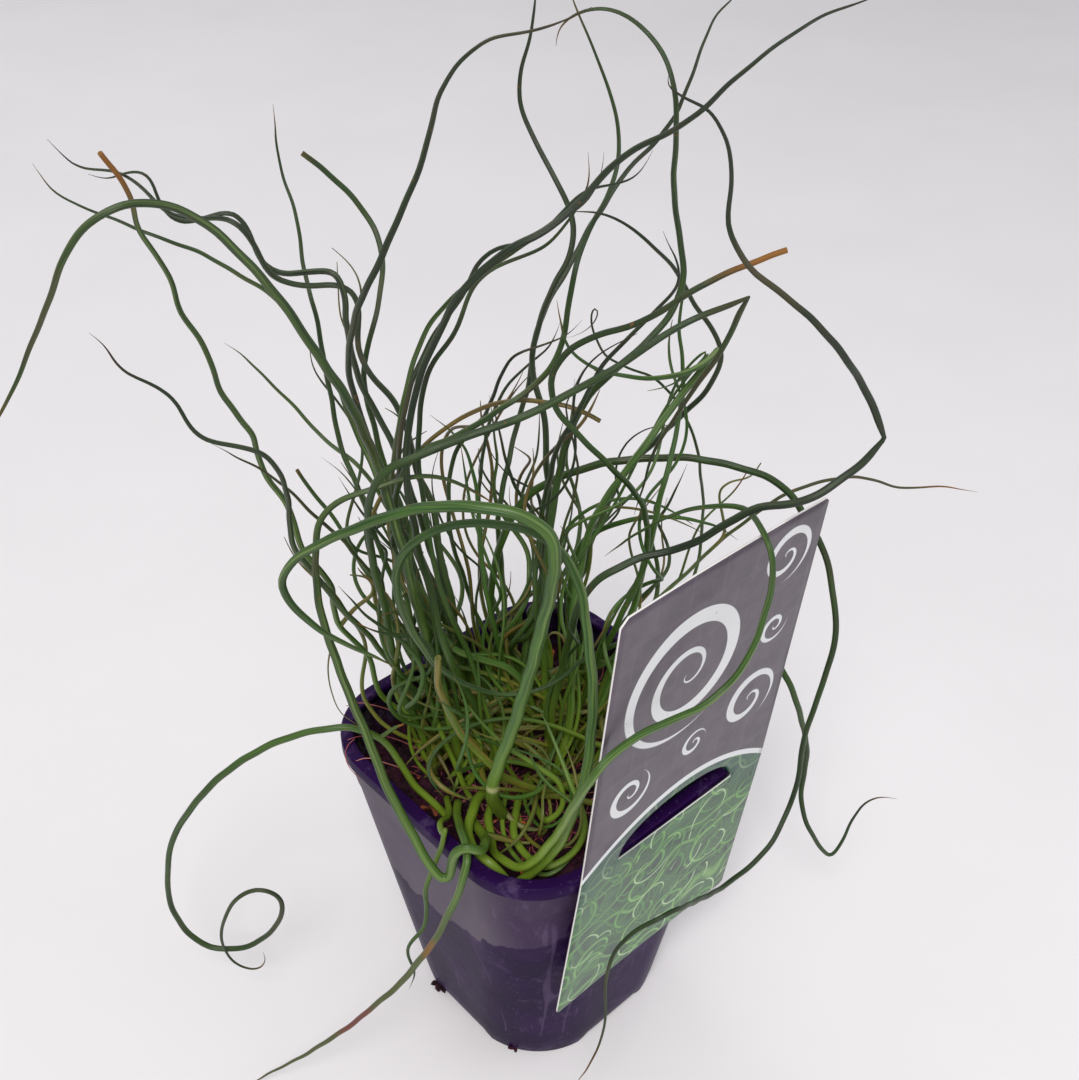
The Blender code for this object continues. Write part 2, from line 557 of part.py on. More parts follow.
def view_axes():
    """Right, forward and up of the photograph's camera."""
    level = Vector((math.cos(HEADING), math.sin(HEADING), 0.0))
    right = Vector((math.sin(HEADING), -math.cos(HEADING), 0.0))
    forward = level * math.cos(PITCH_DOWN) - Vector((0, 0, math.sin(PITCH_DOWN)))
    upward = right.cross(forward)
    return level, right, forward, upward


def sight_line(px, py):
    """Direction from the eye through a pixel of the photograph."""
    _, right, forward, upward = view_axes()
    across = (px - CENTRE_PX[0]) / FOCAL_PX
    rise = (CENTRE_PX[1] - py) / FOCAL_PX
    return forward + right * across + upward * rise


def seen_at(px, py, behind):
    """The point that shows at a pixel and lies this far behind the pot's axis."""
    level = view_axes()[0]
    ray = sight_line(px, py)
    reach = behind - EYE.dot(level)
    return EYE + ray * (reach / ray.dot(level))


def seen_on_soil(px, py):
    """The point of the soil's surface that shows at a pixel."""
    ray = sight_line(px, py)
    return EYE + ray * ((SOIL_TOP - EYE.z) / ray.z)


def depth_keys(points, base_behind):
    """Give every point of a route its distance behind the axis, in metres."""
    steps = [0.0]
    for near, far in zip(points, points[1:]):
        steps.append(steps[-1] + math.hypot(far[0] - near[0], far[1] - near[1]))
    known_at = [0.0]
    known = [base_behind]
    for place, point in zip(steps[1:], points[1:]):
        if len(point) == 3:
            known_at.append(place)
            known.append(point[2] * MM)
    return np.interp(steps, known_at, known)


def route_points(points):
    """Place a traced route in space."""
    base = seen_on_soil(points[0][0], points[0][1])
    level = view_axes()[0]
    depths = depth_keys(points, base.dot(level))
    placed = [base]
    for point, behind in zip(points[1:], depths[1:]):
        placed.append(seen_at(point[0], point[1], behind))
    return placed


def inner_points(base_x, base_y, top_x, top_y, height, curl):
    """A wavy inner stem from its base to its top, worked out from a few sizes."""
    turns = random.uniform(*INNER_TURNS)
    start = random.uniform(0, 2 * math.pi)
    placed = []
    for i in range(INNER_POINTS):
        share = i / (INNER_POINTS - 1)
        swing = curl * math.sin(math.pi * min(1.0, 1.3 * share))
        angle = start + turns * 2 * math.pi * share
        lean = share ** INNER_LEAN_POWER
        x = base_x + (top_x - base_x) * lean + swing * math.cos(angle)
        y = base_y + (top_y - base_y) * lean + swing * math.sin(angle)
        z = height * share ** INNER_RISE_POWER
        placed.append(Vector((x * MM, y * MM, SOIL_TOP + z * MM)))
    return placed


def smooth_curve(points):
    """A Catmull-Rom curve through the points, as closely spaced points."""
    padded = [points[0] * 2 - points[1]] + points + [points[-1] * 2 - points[-2]]
    curve = []
    for a, b, c, d in zip(padded, padded[1:], padded[2:], padded[3:]):
        count = max(2, int((c - b).length / CURVE_STEP))
        ab = max((b - a).length, 1e-6) ** 0.5
        bc = max((c - b).length, 1e-6) ** 0.5
        cd = max((d - c).length, 1e-6) ** 0.5
        leave = ((b - a) / ab - (c - a) / (ab + bc) + (c - b) / bc) * bc
        reach = ((c - b) / bc - (d - b) / (bc + cd) + (d - c) / cd) * bc
        for i in range(count):
            t = i / count
            curve.append(
                b * (2 * t ** 3 - 3 * t ** 2 + 1) + leave * (t ** 3 - 2 * t ** 2 + t)
                + c * (3 * t ** 2 - 2 * t ** 3) + reach * (t ** 3 - t ** 2))
    curve.append(points[-1])
    return curve


def sway(curve, start):
    """Curl a traced stem along the line of sight, so that it is as wavy seen from the side."""
    swayed = []
    length = 0.0
    for i, point in enumerate(curve):
        if i:
            length += (point - curve[i - 1]).length
        grown = min(1.0, length / CURL_START) ** 2
        turn = start + 2 * math.pi * length / CURL_LENGTH
        offset = CURL_DEPTH * grown * math.sin(turn)
        swayed.append(point + (point - EYE).normalized() * offset)
    return swayed


def thin_out(curve, tolerance):
    """Keep only the points that straight runs need to stay within the tolerance."""
    keep = {0, len(curve) - 1}
    waiting = [(0, len(curve) - 1)]
    while waiting:
        first, last = waiting.pop()
        if last - first < 2:
            continue
        start = curve[first]
        run = curve[last] - start
        worst = 0.0
        where = None
        for i in range(first + 1, last):
            offset = curve[i] - start
            share = max(0.0, min(1.0, offset.dot(run) / max(run.length_squared, 1e-12)))
            miss = (offset - run * share).length
            if miss > worst:
                worst = miss
                where = i
        if worst > tolerance:
            keep.add(where)
            waiting.append((first, where))
            waiting.append((where, last))
    return [curve[i] for i in sorted(keep)]


def taper(share, blunt):
    """Radius over base radius, from base to tip."""
    even = 1.0 - TAPER * share
    if blunt:
        return even
    return even - (1.0 - TAPER - TIP_SHARE) * share ** TIP_POWER


def shares_along(nodes):
    """How far along the stem each node lies, from 0 to 1."""
    lengths = [0.0]
    for near, far in zip(nodes, nodes[1:]):
        lengths.append(lengths[-1] + float(np.linalg.norm(np.array(far) - np.array(near))))
    return [length / lengths[-1] for length in lengths]


class Clump:
    """All stems as straight runs in one set of arrays, moved apart until none touch."""

    def __init__(self, stems):
        self.names = list(stems)
        self.spans = {}
        points = []
        radii = []
        owner = []
        for index, name in enumerate(self.names):
            radius, _colour, nodes = stems[name]
            first = len(points)
            for share, node in zip(shares_along(nodes), nodes):
                points.append(tuple(node))
                radii.append(radius * MM * STEM_CORNER * taper(share, name in BLUNT))
                owner.append(index)
            self.spans[name] = (first, len(points))
        self.points = np.array(points)
        self.radii = np.array(radii)
        self.owner = np.array(owner)
        self.start = np.where(self.owner[:-1] == self.owner[1:])[0]
        self.fixed = np.zeros(len(points), bool)
        for first, _last in self.spans.values():
            self.fixed[first] = True
            self.points[first, 2] = SOIL_TOP + GAP

    def near_pairs(self, reach):
        """Pairs of runs whose spheres come within reach of each other."""
        a = self.points[self.start]
        b = self.points[self.start + 1]
        middle = (a + b) / 2
        size = np.linalg.norm(b - a, axis=1) / 2 + self.radii[self.start]
        first, second = np.triu_indices(len(self.start), 1)
        apart = np.linalg.norm(middle[first] - middle[second], axis=1)
        close = apart < size[first] + size[second] + reach
        i = self.start[first[close]]
        j = self.start[second[close]]
        neighbours = (self.owner[i] == self.owner[j]) & (np.abs(i - j) <= 2)
        return i[~neighbours], j[~neighbours]

    def closest(self, i, j):
        """Shares along two sets of runs where they pass closest."""
        p = self.points[i]
        d1 = self.points[i + 1] - p
        q = self.points[j]
        d2 = self.points[j + 1] - q
        r = p - q
        a = np.sum(d1 * d1, 1) + 1e-15
        e = np.sum(d2 * d2, 1) + 1e-15
        b = np.sum(d1 * d2, 1)
        c = np.sum(d1 * r, 1)
        f = np.sum(d2 * r, 1)
        skew = a * e - b * b
        s = np.clip(np.where(skew > 1e-16, (b * f - c * e) / (skew + 1e-20), 0.5), 0, 1)
        t = np.clip((b * s + f) / e, 0, 1)
        s = np.clip((b * t - c) / a, 0, 1)
        return s, t

    def push_pairs(self, i, j):
        """Move runs that pass too close away from each other."""
        s, t = self.closest(i, j)
        near = self.points[i] * (1 - s)[:, None] + self.points[i + 1] * s[:, None]
        far = self.points[j] * (1 - t)[:, None] + self.points[j + 1] * t[:, None]
        need_i = self.radii[i] * (1 - s) + self.radii[i + 1] * s
        need_j = self.radii[j] * (1 - t) + self.radii[j + 1] * t
        offset = near - far
        apart = np.linalg.norm(offset, axis=1)
        short = need_i + need_j + GAP - apart
        hit = short > 0
        if not hit.any():
            return 0.0
        across = np.cross(self.points[i + 1] - self.points[i], self.points[j + 1] - self.points[j])
        across /= np.linalg.norm(across, axis=1)[:, None] + 1e-12
        way = np.where((apart > 1e-5)[:, None], offset / (apart[:, None] + 1e-12), across)
        move = way * (PUSH * short)[:, None]
        shift = np.zeros_like(self.points)
        count = np.zeros(len(self.points))
        ends = ((i, 1 - s, 1), (i + 1, s, 1), (j, 1 - t, -1), (j + 1, t, -1))
        for index, weight, sign in ends:
            np.add.at(shift, index[hit], sign * move[hit] * (END_SHARE + weight[hit])[:, None])
            np.add.at(count, index[hit], 1.0)
        shift /= np.sqrt(np.maximum(1.0, count))[:, None]
        self.points += shift
        return float(short.max())

    def samples(self):
        """Points spread along every run, with the radius there and the share of the run."""
        i = self.start
        for share in np.linspace(0.0, 1.0, RUN_SAMPLES):
            at = self.points[i] * (1 - share) + self.points[i + 1] * share
            radius = self.radii[i] * (1 - share) + self.radii[i + 1] * share
            yield share, at, radius

    def move_runs(self, move, share):
        """Move both ends of every run by most of what its sampled point needs."""
        i = self.start
        for index, weight in ((i, 1 - share), (i + 1, share)):
            part = move * (END_SHARE + (1 - END_SHARE) * weight) * PUSH
            part[self.fixed[index]] = 0.0
            np.add.at(self.points, index, part)

    def keep_off_pot(self):
        """Lift or move the runs that would enter the pot's wall, the soil or the table."""
        worst = 0.0
        for share, at, radius in self.samples():
            outside = wall_offset(at)
            inward = outside + LIP_WIDTH + radius + CLEAR
            outward = radius + CLEAR - outside
            rise = POT_HEIGHT + radius + CLEAR - at[:, 2]
            in_wall = (rise > 0) & (inward > 0) & (outward > 0)
            step_over = in_wall & (rise <= np.minimum(inward, outward) + LIP_STEP)
            step_aside = in_wall & ~step_over
            over_soil = (inward <= 0) & (at[:, 2] > SOIL_TOP / 2) & ~self.fixed[self.start]
            low = np.where(over_soil, SOIL_TOP + GAP + radius * STEM_CORNER - at[:, 2], 0.0)
            sunk = np.maximum(radius + GAP - at[:, 2], 0.0)
            lift = np.maximum.reduce([np.where(step_over, rise, 0.0), low, sunk])
            side = np.where(inward < outward, -inward, outward) * step_aside
            move = wall_normal(at) * side[:, None]
            move[:, 2] += lift
            self.move_runs(move, share)
            worst = max(worst, float(lift.max()), float(np.abs(side).max()))
        return worst

    def keep_off_label(self):
        """Move the runs that would cut the label to the nearer side of it, or over its top."""
        worst = 0.0
        for share, at, radius in self.samples():
            up = at[:, 2] - LABEL_LINE_Z
            margin = radius + LABEL_THICK / 2 + CLEAR
            plane = LABEL_Y - up * np.tan(np.where(up > 0, LABEL_LEAN, LABEL_TUCK))
            at_tongue = (up > TONGUE_END_Z - LABEL_LINE_Z - CLEAR) & (up < SLOT_HEIGHT + CLEAR)
            back = plane + margin + np.where(at_tongue, TONGUE_Y - LABEL_Y, 0.0)
            front = plane - margin
            from_centre = np.abs(at[:, 0] - LABEL_CENTRE_X)
            beside = from_centre < LABEL_WIDTH / 2 + LABEL_CHAMFER + radius
            over = LABEL_ABOVE + margin - up
            under = LABEL_BELOW + margin + up
            hit = beside & (over > 0) & (under > 0) & (at[:, 1] < back) & (at[:, 1] > front)
            near_top = hit & (over < LABEL_STEP)
            to_side = np.where(at[:, 1] > plane, back, front) - at[:, 1]
            move = np.zeros_like(at)
            move[:, 1] = np.where(hit & ~near_top, to_side, 0.0)
            move[:, 2] = np.where(near_top, over, 0.0)
            self.move_runs(move, share)
            worst = max(worst, float(np.abs(move).max()))
        return worst

    def stand_bases(self):
        """Set every base a gap over the soil, however much its first run leans."""
        first = np.where(self.fixed)[0]
        run = self.points[first + 1] - self.points[first]
        level = np.hypot(run[:, 0], run[:, 1]) / np.linalg.norm(run, axis=1)
        self.points[first, 2] = SOIL_TOP + GAP + self.radii[first] * level

    def relax(self):
        """Repeat the moves until nothing touches or the rounds run out."""
        for turn in range(RELAX_ROUNDS):
            if turn % PAIRS_EVERY == 0:
                i, j = self.near_pairs(PAIR_REACH)
            self.stand_bases()
            off_label = self.keep_off_label()
            off_pot = self.keep_off_pot()
            off_stems = self.push_pairs(i, j)
        left = [round(miss / MM, 3) for miss in (off_stems, off_pot, off_label)]
        print("left to clear in mm, from stems, pot and label:", left)


def wall_offset(at):
    """Distance outside the pot's outer surface, taken level, for an array of points."""
    share = np.clip(at[:, 2] / (POT_HEIGHT - COLLAR_HEIGHT), 0.0, 1.0)
    half = BASE_HALF + EDGE + (RIM_HALF - BASE_HALF - EDGE) * share
    corner = BASE_CORNER + (RIM_CORNER - BASE_CORNER) * share
    flat = half - corner
    x = np.abs(at[:, 0]) - flat
    y = np.abs(at[:, 1]) - flat
    beyond = np.hypot(np.maximum(x, 0.0), np.maximum(y, 0.0))
    return beyond + np.minimum(np.maximum(x, y), 0.0) - corner


def wall_normal(at):
    """Level direction straight away from the pot's outer surface."""
    step = 0.1 * MM
    base = wall_offset(at)
    slope = np.zeros_like(at)
    for axis in (0, 1):
        moved = at.copy()
        moved[:, axis] += step
        slope[:, axis] = (wall_offset(moved) - base) / step
    length = np.linalg.norm(slope, axis=1)[:, None] + 1e-9
    return slope / length


def stem_mesh(name, nodes, radii):
    """A four-sided tapering solid along the nodes, with flat ends."""
    runs = [(Vector(b) - Vector(a)).normalized() for a, b in zip(nodes, nodes[1:])]
    facings = [runs[0]]
    for before, after in zip(runs, runs[1:]):
        facings.append((before + after).normalized())
    facings.append(runs[-1])
    side = facings[0].orthogonal().normalized()
    rings = []
    for node, facing, radius in zip(nodes, facings, radii):
        side = (side - facing * side.dot(facing)).normalized()
        other = facing.cross(side)
        ring = []
        for corner in range(4):
            angle = math.radians(90 * corner)
            ring.append(Vector(node) + (side * math.cos(angle) + other * math.sin(angle)) * radius)
        rings.append(ring)
    return loft(name, rings)


def build_stems():
    """Trace, space out and build every stem."""
    random.seed(SEED)
    stems = {}
    for name, (radius, colour, points) in STEMS.items():
        curve = smooth_curve(route_points(points))
        start = random.uniform(0, 2 * math.pi)
        if name not in STEADY:
            curve = sway(curve, start)
        stems[name] = (radius, colour, thin_out(curve, STEM_TOLERANCE))
    for name, sizes in INNER.items():
        nodes = thin_out(smooth_curve(inner_points(*sizes[:-1])), STEM_TOLERANCE)
        stems[name] = (INNER_RADIUS, sizes[-1], nodes)
    clump = Clump(stems)
    clump.relax()
    for name, (first, last) in clump.spans.items():
        mesh = stem_mesh("stem_" + name, clump.points[first:last], clump.radii[first:last])
        add_object("stem_" + name, mesh, stems[name][1])
    print("stems:", len(stems), "nodes:", len(clump.points))


def clear_scene():
    """Remove whatever the file holds."""
    for thing in list(bpy.data.objects):
        bpy.data.objects.remove(thing, do_unlink=True)


def main():
    """Build the whole part."""
    clear_scene()
    build_pot()
    build_soil()
    build_label()
    build_stems()


main()
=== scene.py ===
import math
import random

import bmesh
import bpy
import numpy as np
from mathutils import Matrix, Vector, noise
from mathutils.geometry import delaunay_2d_cdt


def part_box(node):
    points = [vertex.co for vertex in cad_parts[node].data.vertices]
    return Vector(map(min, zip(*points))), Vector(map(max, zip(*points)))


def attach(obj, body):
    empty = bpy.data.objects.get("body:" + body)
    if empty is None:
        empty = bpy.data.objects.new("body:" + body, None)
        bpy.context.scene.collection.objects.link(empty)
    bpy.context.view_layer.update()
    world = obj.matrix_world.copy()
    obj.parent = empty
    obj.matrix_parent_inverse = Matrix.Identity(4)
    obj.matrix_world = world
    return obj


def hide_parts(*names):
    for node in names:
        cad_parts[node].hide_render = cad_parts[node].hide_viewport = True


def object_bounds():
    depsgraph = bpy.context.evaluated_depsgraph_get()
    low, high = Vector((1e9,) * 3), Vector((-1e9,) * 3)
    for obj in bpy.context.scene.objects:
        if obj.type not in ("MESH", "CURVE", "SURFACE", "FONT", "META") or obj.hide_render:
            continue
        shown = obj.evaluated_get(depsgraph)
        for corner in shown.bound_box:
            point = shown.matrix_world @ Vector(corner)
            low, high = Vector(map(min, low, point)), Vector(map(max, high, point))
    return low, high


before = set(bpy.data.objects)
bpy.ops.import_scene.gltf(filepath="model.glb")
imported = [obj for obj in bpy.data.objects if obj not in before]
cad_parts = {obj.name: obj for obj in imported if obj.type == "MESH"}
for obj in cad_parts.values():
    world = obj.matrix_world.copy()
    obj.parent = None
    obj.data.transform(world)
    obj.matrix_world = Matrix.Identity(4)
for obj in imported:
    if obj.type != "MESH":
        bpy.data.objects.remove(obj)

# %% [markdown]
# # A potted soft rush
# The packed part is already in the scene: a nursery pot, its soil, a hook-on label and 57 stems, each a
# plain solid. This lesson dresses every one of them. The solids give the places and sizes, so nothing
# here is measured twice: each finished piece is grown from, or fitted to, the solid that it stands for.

MM = 0.001
bpy.context.view_layer.update()
cad_low, cad_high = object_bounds()
print("bare part, in mm:", [round(side / MM, 1) for side in cad_high - cad_low])

# %% [markdown]
# ## The camera
# The camera stands where the photograph was taken: above the pot, looking down on its front corner. It
# could be framed by eye, but the routes of the finest hairs are given as places in the picture, so its
# position is written out and the same numbers turn a place in the picture into a point in space.

# %% Set up the camera
EYE = Vector((-0.1765, -0.1932, 0.3645))
HEADING = math.radians(90.0 - 42.4)
PITCH_DOWN = 0.6522
FOCAL_PX = 1349.8
PICTURE = (1079, 1080)
SENSOR = 36.0

level = Vector((math.cos(HEADING), math.sin(HEADING), 0.0))
rightward = Vector((math.sin(HEADING), -math.cos(HEADING), 0.0))
forward = level * math.cos(PITCH_DOWN) - Vector((0.0, 0.0, math.sin(PITCH_DOWN)))
upward = rightward.cross(forward)


def seen_at(px, py, behind):
    """The point that shows at a place in the picture and lies this far behind the pot's axis."""
    across = (px - PICTURE[0] / 2) / FOCAL_PX
    rise = (PICTURE[1] / 2 - py) / FOCAL_PX
    ray = forward + rightward * across + upward * rise
    return EYE + ray * ((behind * MM - EYE.dot(level)) / ray.dot(level))


def seen_place(point):
    """Where a point shows in the picture, and how far behind the pot's axis it lies in mm."""
    away = Vector(point) - EYE
    depth = away.dot(forward)
    return (PICTURE[0] / 2 + FOCAL_PX * away.dot(rightward) / depth,
            PICTURE[1] / 2 - FOCAL_PX * away.dot(upward) / depth, Vector(point).dot(level) / MM)


camera = bpy.data.objects.new("camera", bpy.data.cameras.new("camera"))
bpy.context.scene.collection.objects.link(camera)
camera.location = EYE
camera.rotation_mode = "QUATERNION"
camera.rotation_quaternion = forward.to_track_quat("-Z", "Y")
camera.data.sensor_width = SENSOR
camera.data.lens = FOCAL_PX / PICTURE[1] * SENSOR
camera.data.clip_start = 0.01
bpy.context.scene.camera = camera
print("lens in mm:", round(camera.data.lens, 2))

# %% [markdown]
# ## Writing node trees as sums
# Every finish below is worked out by nodes, and so are the shapes that repeat or follow a path. Placing
# nodes one by one makes long code, so a small class wraps a socket: adding or multiplying two wrapped
# sockets adds the Math node that does it. Any other node comes from one method, `node`, and the few
# patterns that every finish uses have short methods of their own, in a class built on the first one.


# %% A wrapped socket
class Wire:
    """A value on its way through a node tree."""

    def __init__(self, maker, socket):
        self.maker = maker
        self.socket = socket

    def __add__(self, other):
        return self.maker.maths("ADD", self, other)

    def __sub__(self, other):
        return self.maker.maths("SUBTRACT", self, other)

    def __rsub__(self, other):
        return self.maker.maths("SUBTRACT", other, self)

    def __mul__(self, other):
        return self.maker.maths("MULTIPLY", self, other)

    def __truediv__(self, other):
        return self.maker.maths("DIVIDE", self, other)

    def __abs__(self):
        return self.maker.maths("ABSOLUTE", self)

    __radd__ = __add__
    __rmul__ = __mul__


# %% Adding nodes
class Nodes:
    """Adds nodes to one tree."""

    def __init__(self, tree):
        self.tree = tree

    def node(self, kind, settings=None, sockets=None):
        """Add a node, set its settings, then give each named socket its value or link."""
        made = self.tree.nodes.new(kind)
        for name, value in (settings or {}).items():
            setattr(made, name, value)
        for name, value in (sockets or {}).items():
            self.feed(self.pick(made.inputs, name), value)
        return {key: Wire(self, socket) for socket in reversed(made.outputs)
                for key in (socket.name, socket.identifier)}

    def pick(self, sockets, name):
        """The socket with this identifier, or else with this name."""
        for socket in sockets:
            if socket.identifier == name:
                return socket
        return sockets[name]

    def feed(self, socket, value):
        """Link a wire to a socket, or set a plain value on it."""
        if isinstance(value, Wire):
            self.tree.links.new(value.socket, socket)
        else:
            socket.default_value = value

    def maths(self, operation, *values):
        """A Math node on one or two values."""
        sockets = dict(zip(("Value", "Value_001"), values))
        return self.node("ShaderNodeMath", {"operation": operation}, sockets)["Value"]


print("methods for nodes:", [name for name in vars(Nodes) if not name.startswith("_")])


# %% The maker of common patterns
class Maker(Nodes):
    """The patterns that the finishes and trees use again and again."""

    def largest(self, *values):
        """The largest of several values."""
        top = values[0]
        for value in values[1:]:
            top = self.maths("MAXIMUM", top, value)
        return top

    def band(self, value, low, high):
        """0 below the low value, 1 above the high one, smooth between them."""
        sockets = {"Value": value, "From Min": low, "From Max": high}
        return self.node("ShaderNodeMapRange", {"interpolation_type": "SMOOTHSTEP"}, sockets)["Result"]

    def fade(self, value, low, high):
        """1 below the low value, 0 above the high one, smooth between them."""
        return 1.0 - self.band(value, low, high)

    def noise(self, place, scale, detail=3.0, roughness=0.55, distortion=0.0):
        """A cloudy value from 0 to 1."""
        sockets = {"Vector": place, "Scale": scale, "Detail": detail, "Roughness": roughness,
                   "Distortion": distortion}
        return self.node("ShaderNodeTexNoise", None, sockets)["Fac"]

    def point(self, x, y, z):
        """Three values as one place."""
        return self.node("ShaderNodeCombineXYZ", None, {"X": x, "Y": y, "Z": z})["Vector"]

    def parts(self, place):
        """The three values of a place."""
        made = self.node("ShaderNodeSeparateXYZ", None, {"Vector": place})
        return made["X"], made["Y"], made["Z"]

    def vector(self, operation, first, second):
        """A Vector Math node on two places; returns all its outputs."""
        sockets = {"Vector": first, "Vector_001": second}
        return self.node("ShaderNodeVectorMath", {"operation": operation}, sockets)

    def stretch(self, place, amounts):
        """A place multiplied axis by axis."""
        return self.vector("MULTIPLY", place, amounts)["Vector"]

    def stored(self, name):
        """An attribute of the mesh, as three values."""
        return self.parts(self.node("ShaderNodeAttribute", {"attribute_name": name})["Vector"])

    def mix(self, amount, under, over):
        """One colour laid over another."""
        sockets = {"Factor_Float": amount, "A_Color": under, "B_Color": over}
        return self.node("ShaderNodeMix", {"data_type": "RGBA"}, sockets)["Result_Color"]

    def bump(self, height, distance, strength=1.0, under=None):
        """Small relief from a height between 0 and 1."""
        sockets = {"Height": height, "Distance": distance, "Strength": strength}
        if under is not None:
            sockets["Normal"] = under
        return self.node("ShaderNodeBump", None, sockets)["Normal"]

    def surface(self, colour, roughness, normal=None):
        """Feed what a finish varies over its surface."""
        shader = self.tree.nodes["Principled BSDF"].inputs
        self.feed(shader["Base Color"], colour)
        self.feed(shader["Roughness"], roughness)
        if normal is not None:
            self.feed(shader["Normal"], normal)


print("methods for patterns:", [name for name in vars(Maker) if not name.startswith("_")])

# %% [markdown]
# ## Colours and finishes
# Colours are easier to judge as screen values from 0 to 255, but nodes expect light values, so one
# function converts them. Another starts a material and hands its maker to the recipe that fills it.

# %% Start a finish
SCREEN_GAMMA = 2.2


def screen(red, green, blue):
    """A colour as it shows on a screen, turned into light values."""
    return tuple((part / 255) ** SCREEN_GAMMA for part in (red, green, blue)) + (1.0,)


def start_finish(name, specular, coat=0.0, bending=1.5):
    """A new material, its maker and the place on the object; bending is its index of refraction."""
    finish = bpy.data.materials.new(name)
    finish.use_nodes = True
    shader = finish.node_tree.nodes["Principled BSDF"].inputs
    shader["Specular IOR Level"].default_value = specular
    shader["IOR"].default_value = bending
    shader["Coat Roughness"].default_value = 0.25
    shader["Coat Weight"].default_value = coat
    make = Maker(finish.node_tree)
    return finish, make, make.node("ShaderNodeTexCoord")["Object"]


print("mid grey on a screen is this much light:", round(screen(128, 128, 128)[0], 3))

# %% [markdown]
# ## Mesh helpers
# Two jobs come back for several pieces: joining rows of points into a skin, and keeping the result of a
# modifier or a Geometry Nodes tree as a plain mesh, because only plain meshes can be exported. A piece
# that is done rides on the part, in place of the solid that it stands for.


# %% Skins and plain meshes
def place_mesh(name, mesh):
    """Put a mesh in the scene as an object at the origin."""
    piece = bpy.data.objects.new(name, mesh)
    bpy.context.scene.collection.objects.link(piece)
    return piece


def mesh_of(name, shape):
    """Turn a finished bmesh into a mesh, and free it."""
    mesh = bpy.data.meshes.new(name)
    shape.to_mesh(mesh)
    shape.free()
    return mesh


def take_in(shape, mesh):
    """Add a mesh to a bmesh, and remove it."""
    shape.from_mesh(mesh)
    bpy.data.meshes.remove(mesh)


def skin(name, rows):
    """Join equal rows of points, each a closed loop, into a closed, smooth mesh that faces outwards."""
    count = len(rows[0])
    last = (len(rows) - 1) * count
    faces = []
    for start in range(0, last, count):
        for i in range(count):
            j = (i + 1) % count
            faces.append((start + i, start + j, start + count + j, start + count + i))
    faces += [tuple(reversed(range(count))), tuple(range(last, last + count))]
    mesh = bpy.data.meshes.new(name)
    mesh.from_pydata([tuple(point) for row in rows for point in row], [], faces)
    shape = bmesh.new()
    take_in(shape, mesh)
    bmesh.ops.recalc_face_normals(shape, faces=shape.faces)
    for face in shape.faces:
        face.smooth = True
    return mesh_of(name, shape)


def apply_modifiers(piece):
    """Keep what the modifiers make as the piece's own plain mesh."""
    graph = bpy.context.evaluated_depsgraph_get()
    piece.data = bpy.data.meshes.new_from_object(piece.evaluated_get(graph))
    piece.modifiers.clear()


# %% Finished pieces
def slot_of(node):
    """The material slot that a solid came with."""
    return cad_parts[node].data.materials[0].name.split(".")[0]


def hand_over(piece, slot, *nodes):
    """Let a finished piece ride on the part, in place of the solids it stands for."""
    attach(piece, "root")
    if nodes:
        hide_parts(*nodes)


print("slots:", sorted({slot_of(node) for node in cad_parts}))


# %% Geometry Nodes trees
def start_tree(name, inputs):
    """A Geometry Nodes tree with named inputs: the tree, its maker and the input wires."""
    tree = bpy.data.node_groups.new(name, "GeometryNodeTree")
    tree.interface.new_socket("Geometry", in_out="OUTPUT", socket_type="NodeSocketGeometry")
    for label, (kind, value) in inputs.items():
        socket = tree.interface.new_socket(label, in_out="INPUT", socket_type="NodeSocket" + kind)
        if value is not None:
            socket.default_value = value
    make = Maker(tree)
    return tree, make, make.node("NodeGroupInput")


def end_tree(make, geometry, material):
    """Finish a tree: real geometry, one material, and the output."""
    real = make.node("GeometryNodeRealizeInstances", None, {"Geometry": geometry})["Geometry"]
    dressed = make.node("GeometryNodeSetMaterial", None, {"Geometry": real, "Material": material})
    make.node("NodeGroupOutput", None, {"Geometry": dressed["Geometry"]})


def run_tree(tree, host, inputs):
    """Run a tree on an object that is then thrown away, and return the plain mesh."""
    modifier = host.modifiers.new("tree", "NODES")
    modifier.node_group = tree
    for item in tree.interface.items_tree:
        if item.in_out == "INPUT" and item.name in inputs:
            modifier[item.identifier] = inputs[item.name]
    graph = bpy.context.evaluated_depsgraph_get()
    mesh = bpy.data.meshes.new_from_object(host.evaluated_get(graph), depsgraph=graph)
    bpy.data.objects.remove(host, do_unlink=True)
    return mesh


# %% [markdown]
# ## Reading a stem's solid
# Each stem's solid is a row of four-cornered rings with flat ends. The centres of those rings are the
# stem's path. To find them without any order in the file, the corners are walked from one flat end: the
# corners next to an end ring are exactly the next ring, and so on to the tip.

# %% Find the path and thickness of every stem
SOIL_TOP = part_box("soil")[1].z
CORNER_REACH = 1.1                  # the solid's corner radius over the stem's radius
MIDDLE_WEIGHT = 0.2                 # how much the way from the soil's middle counts in finding a base
SAME_PLACE = 1e-6                   # corners nearer together than this are one
STEM_NODES = sorted(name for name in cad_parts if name.startswith("stem_"))


def rings_of(node):
    """The four-cornered rings of a stem's solid, in order along it."""
    shape = bmesh.new()
    shape.from_mesh(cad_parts[node].data)
    bmesh.ops.remove_doubles(shape, verts=shape.verts, dist=SAME_PLACE)
    found = []
    for edge in shape.edges:
        seed = {corner for face in edge.link_faces for corner in face.verts}
        rows = [seed]
        seen = set(seed)
        while rows[-1]:
            beside = {e.other_vert(corner) for corner in rows[-1] for e in corner.link_edges}
            rows.append(beside - seen)
            seen |= beside
        if all(len(row) == 4 for row in rows[:-1]):
            found = [np.array([corner.co for corner in row]) for row in rows[:-1]]
            break
    shape.free()
    return found


def from_soil(point):
    """How far a point is from the middle of the soil's surface, mostly in height."""
    return abs(point[2] - SOIL_TOP) + MIDDLE_WEIGHT * math.hypot(point[0], point[1])


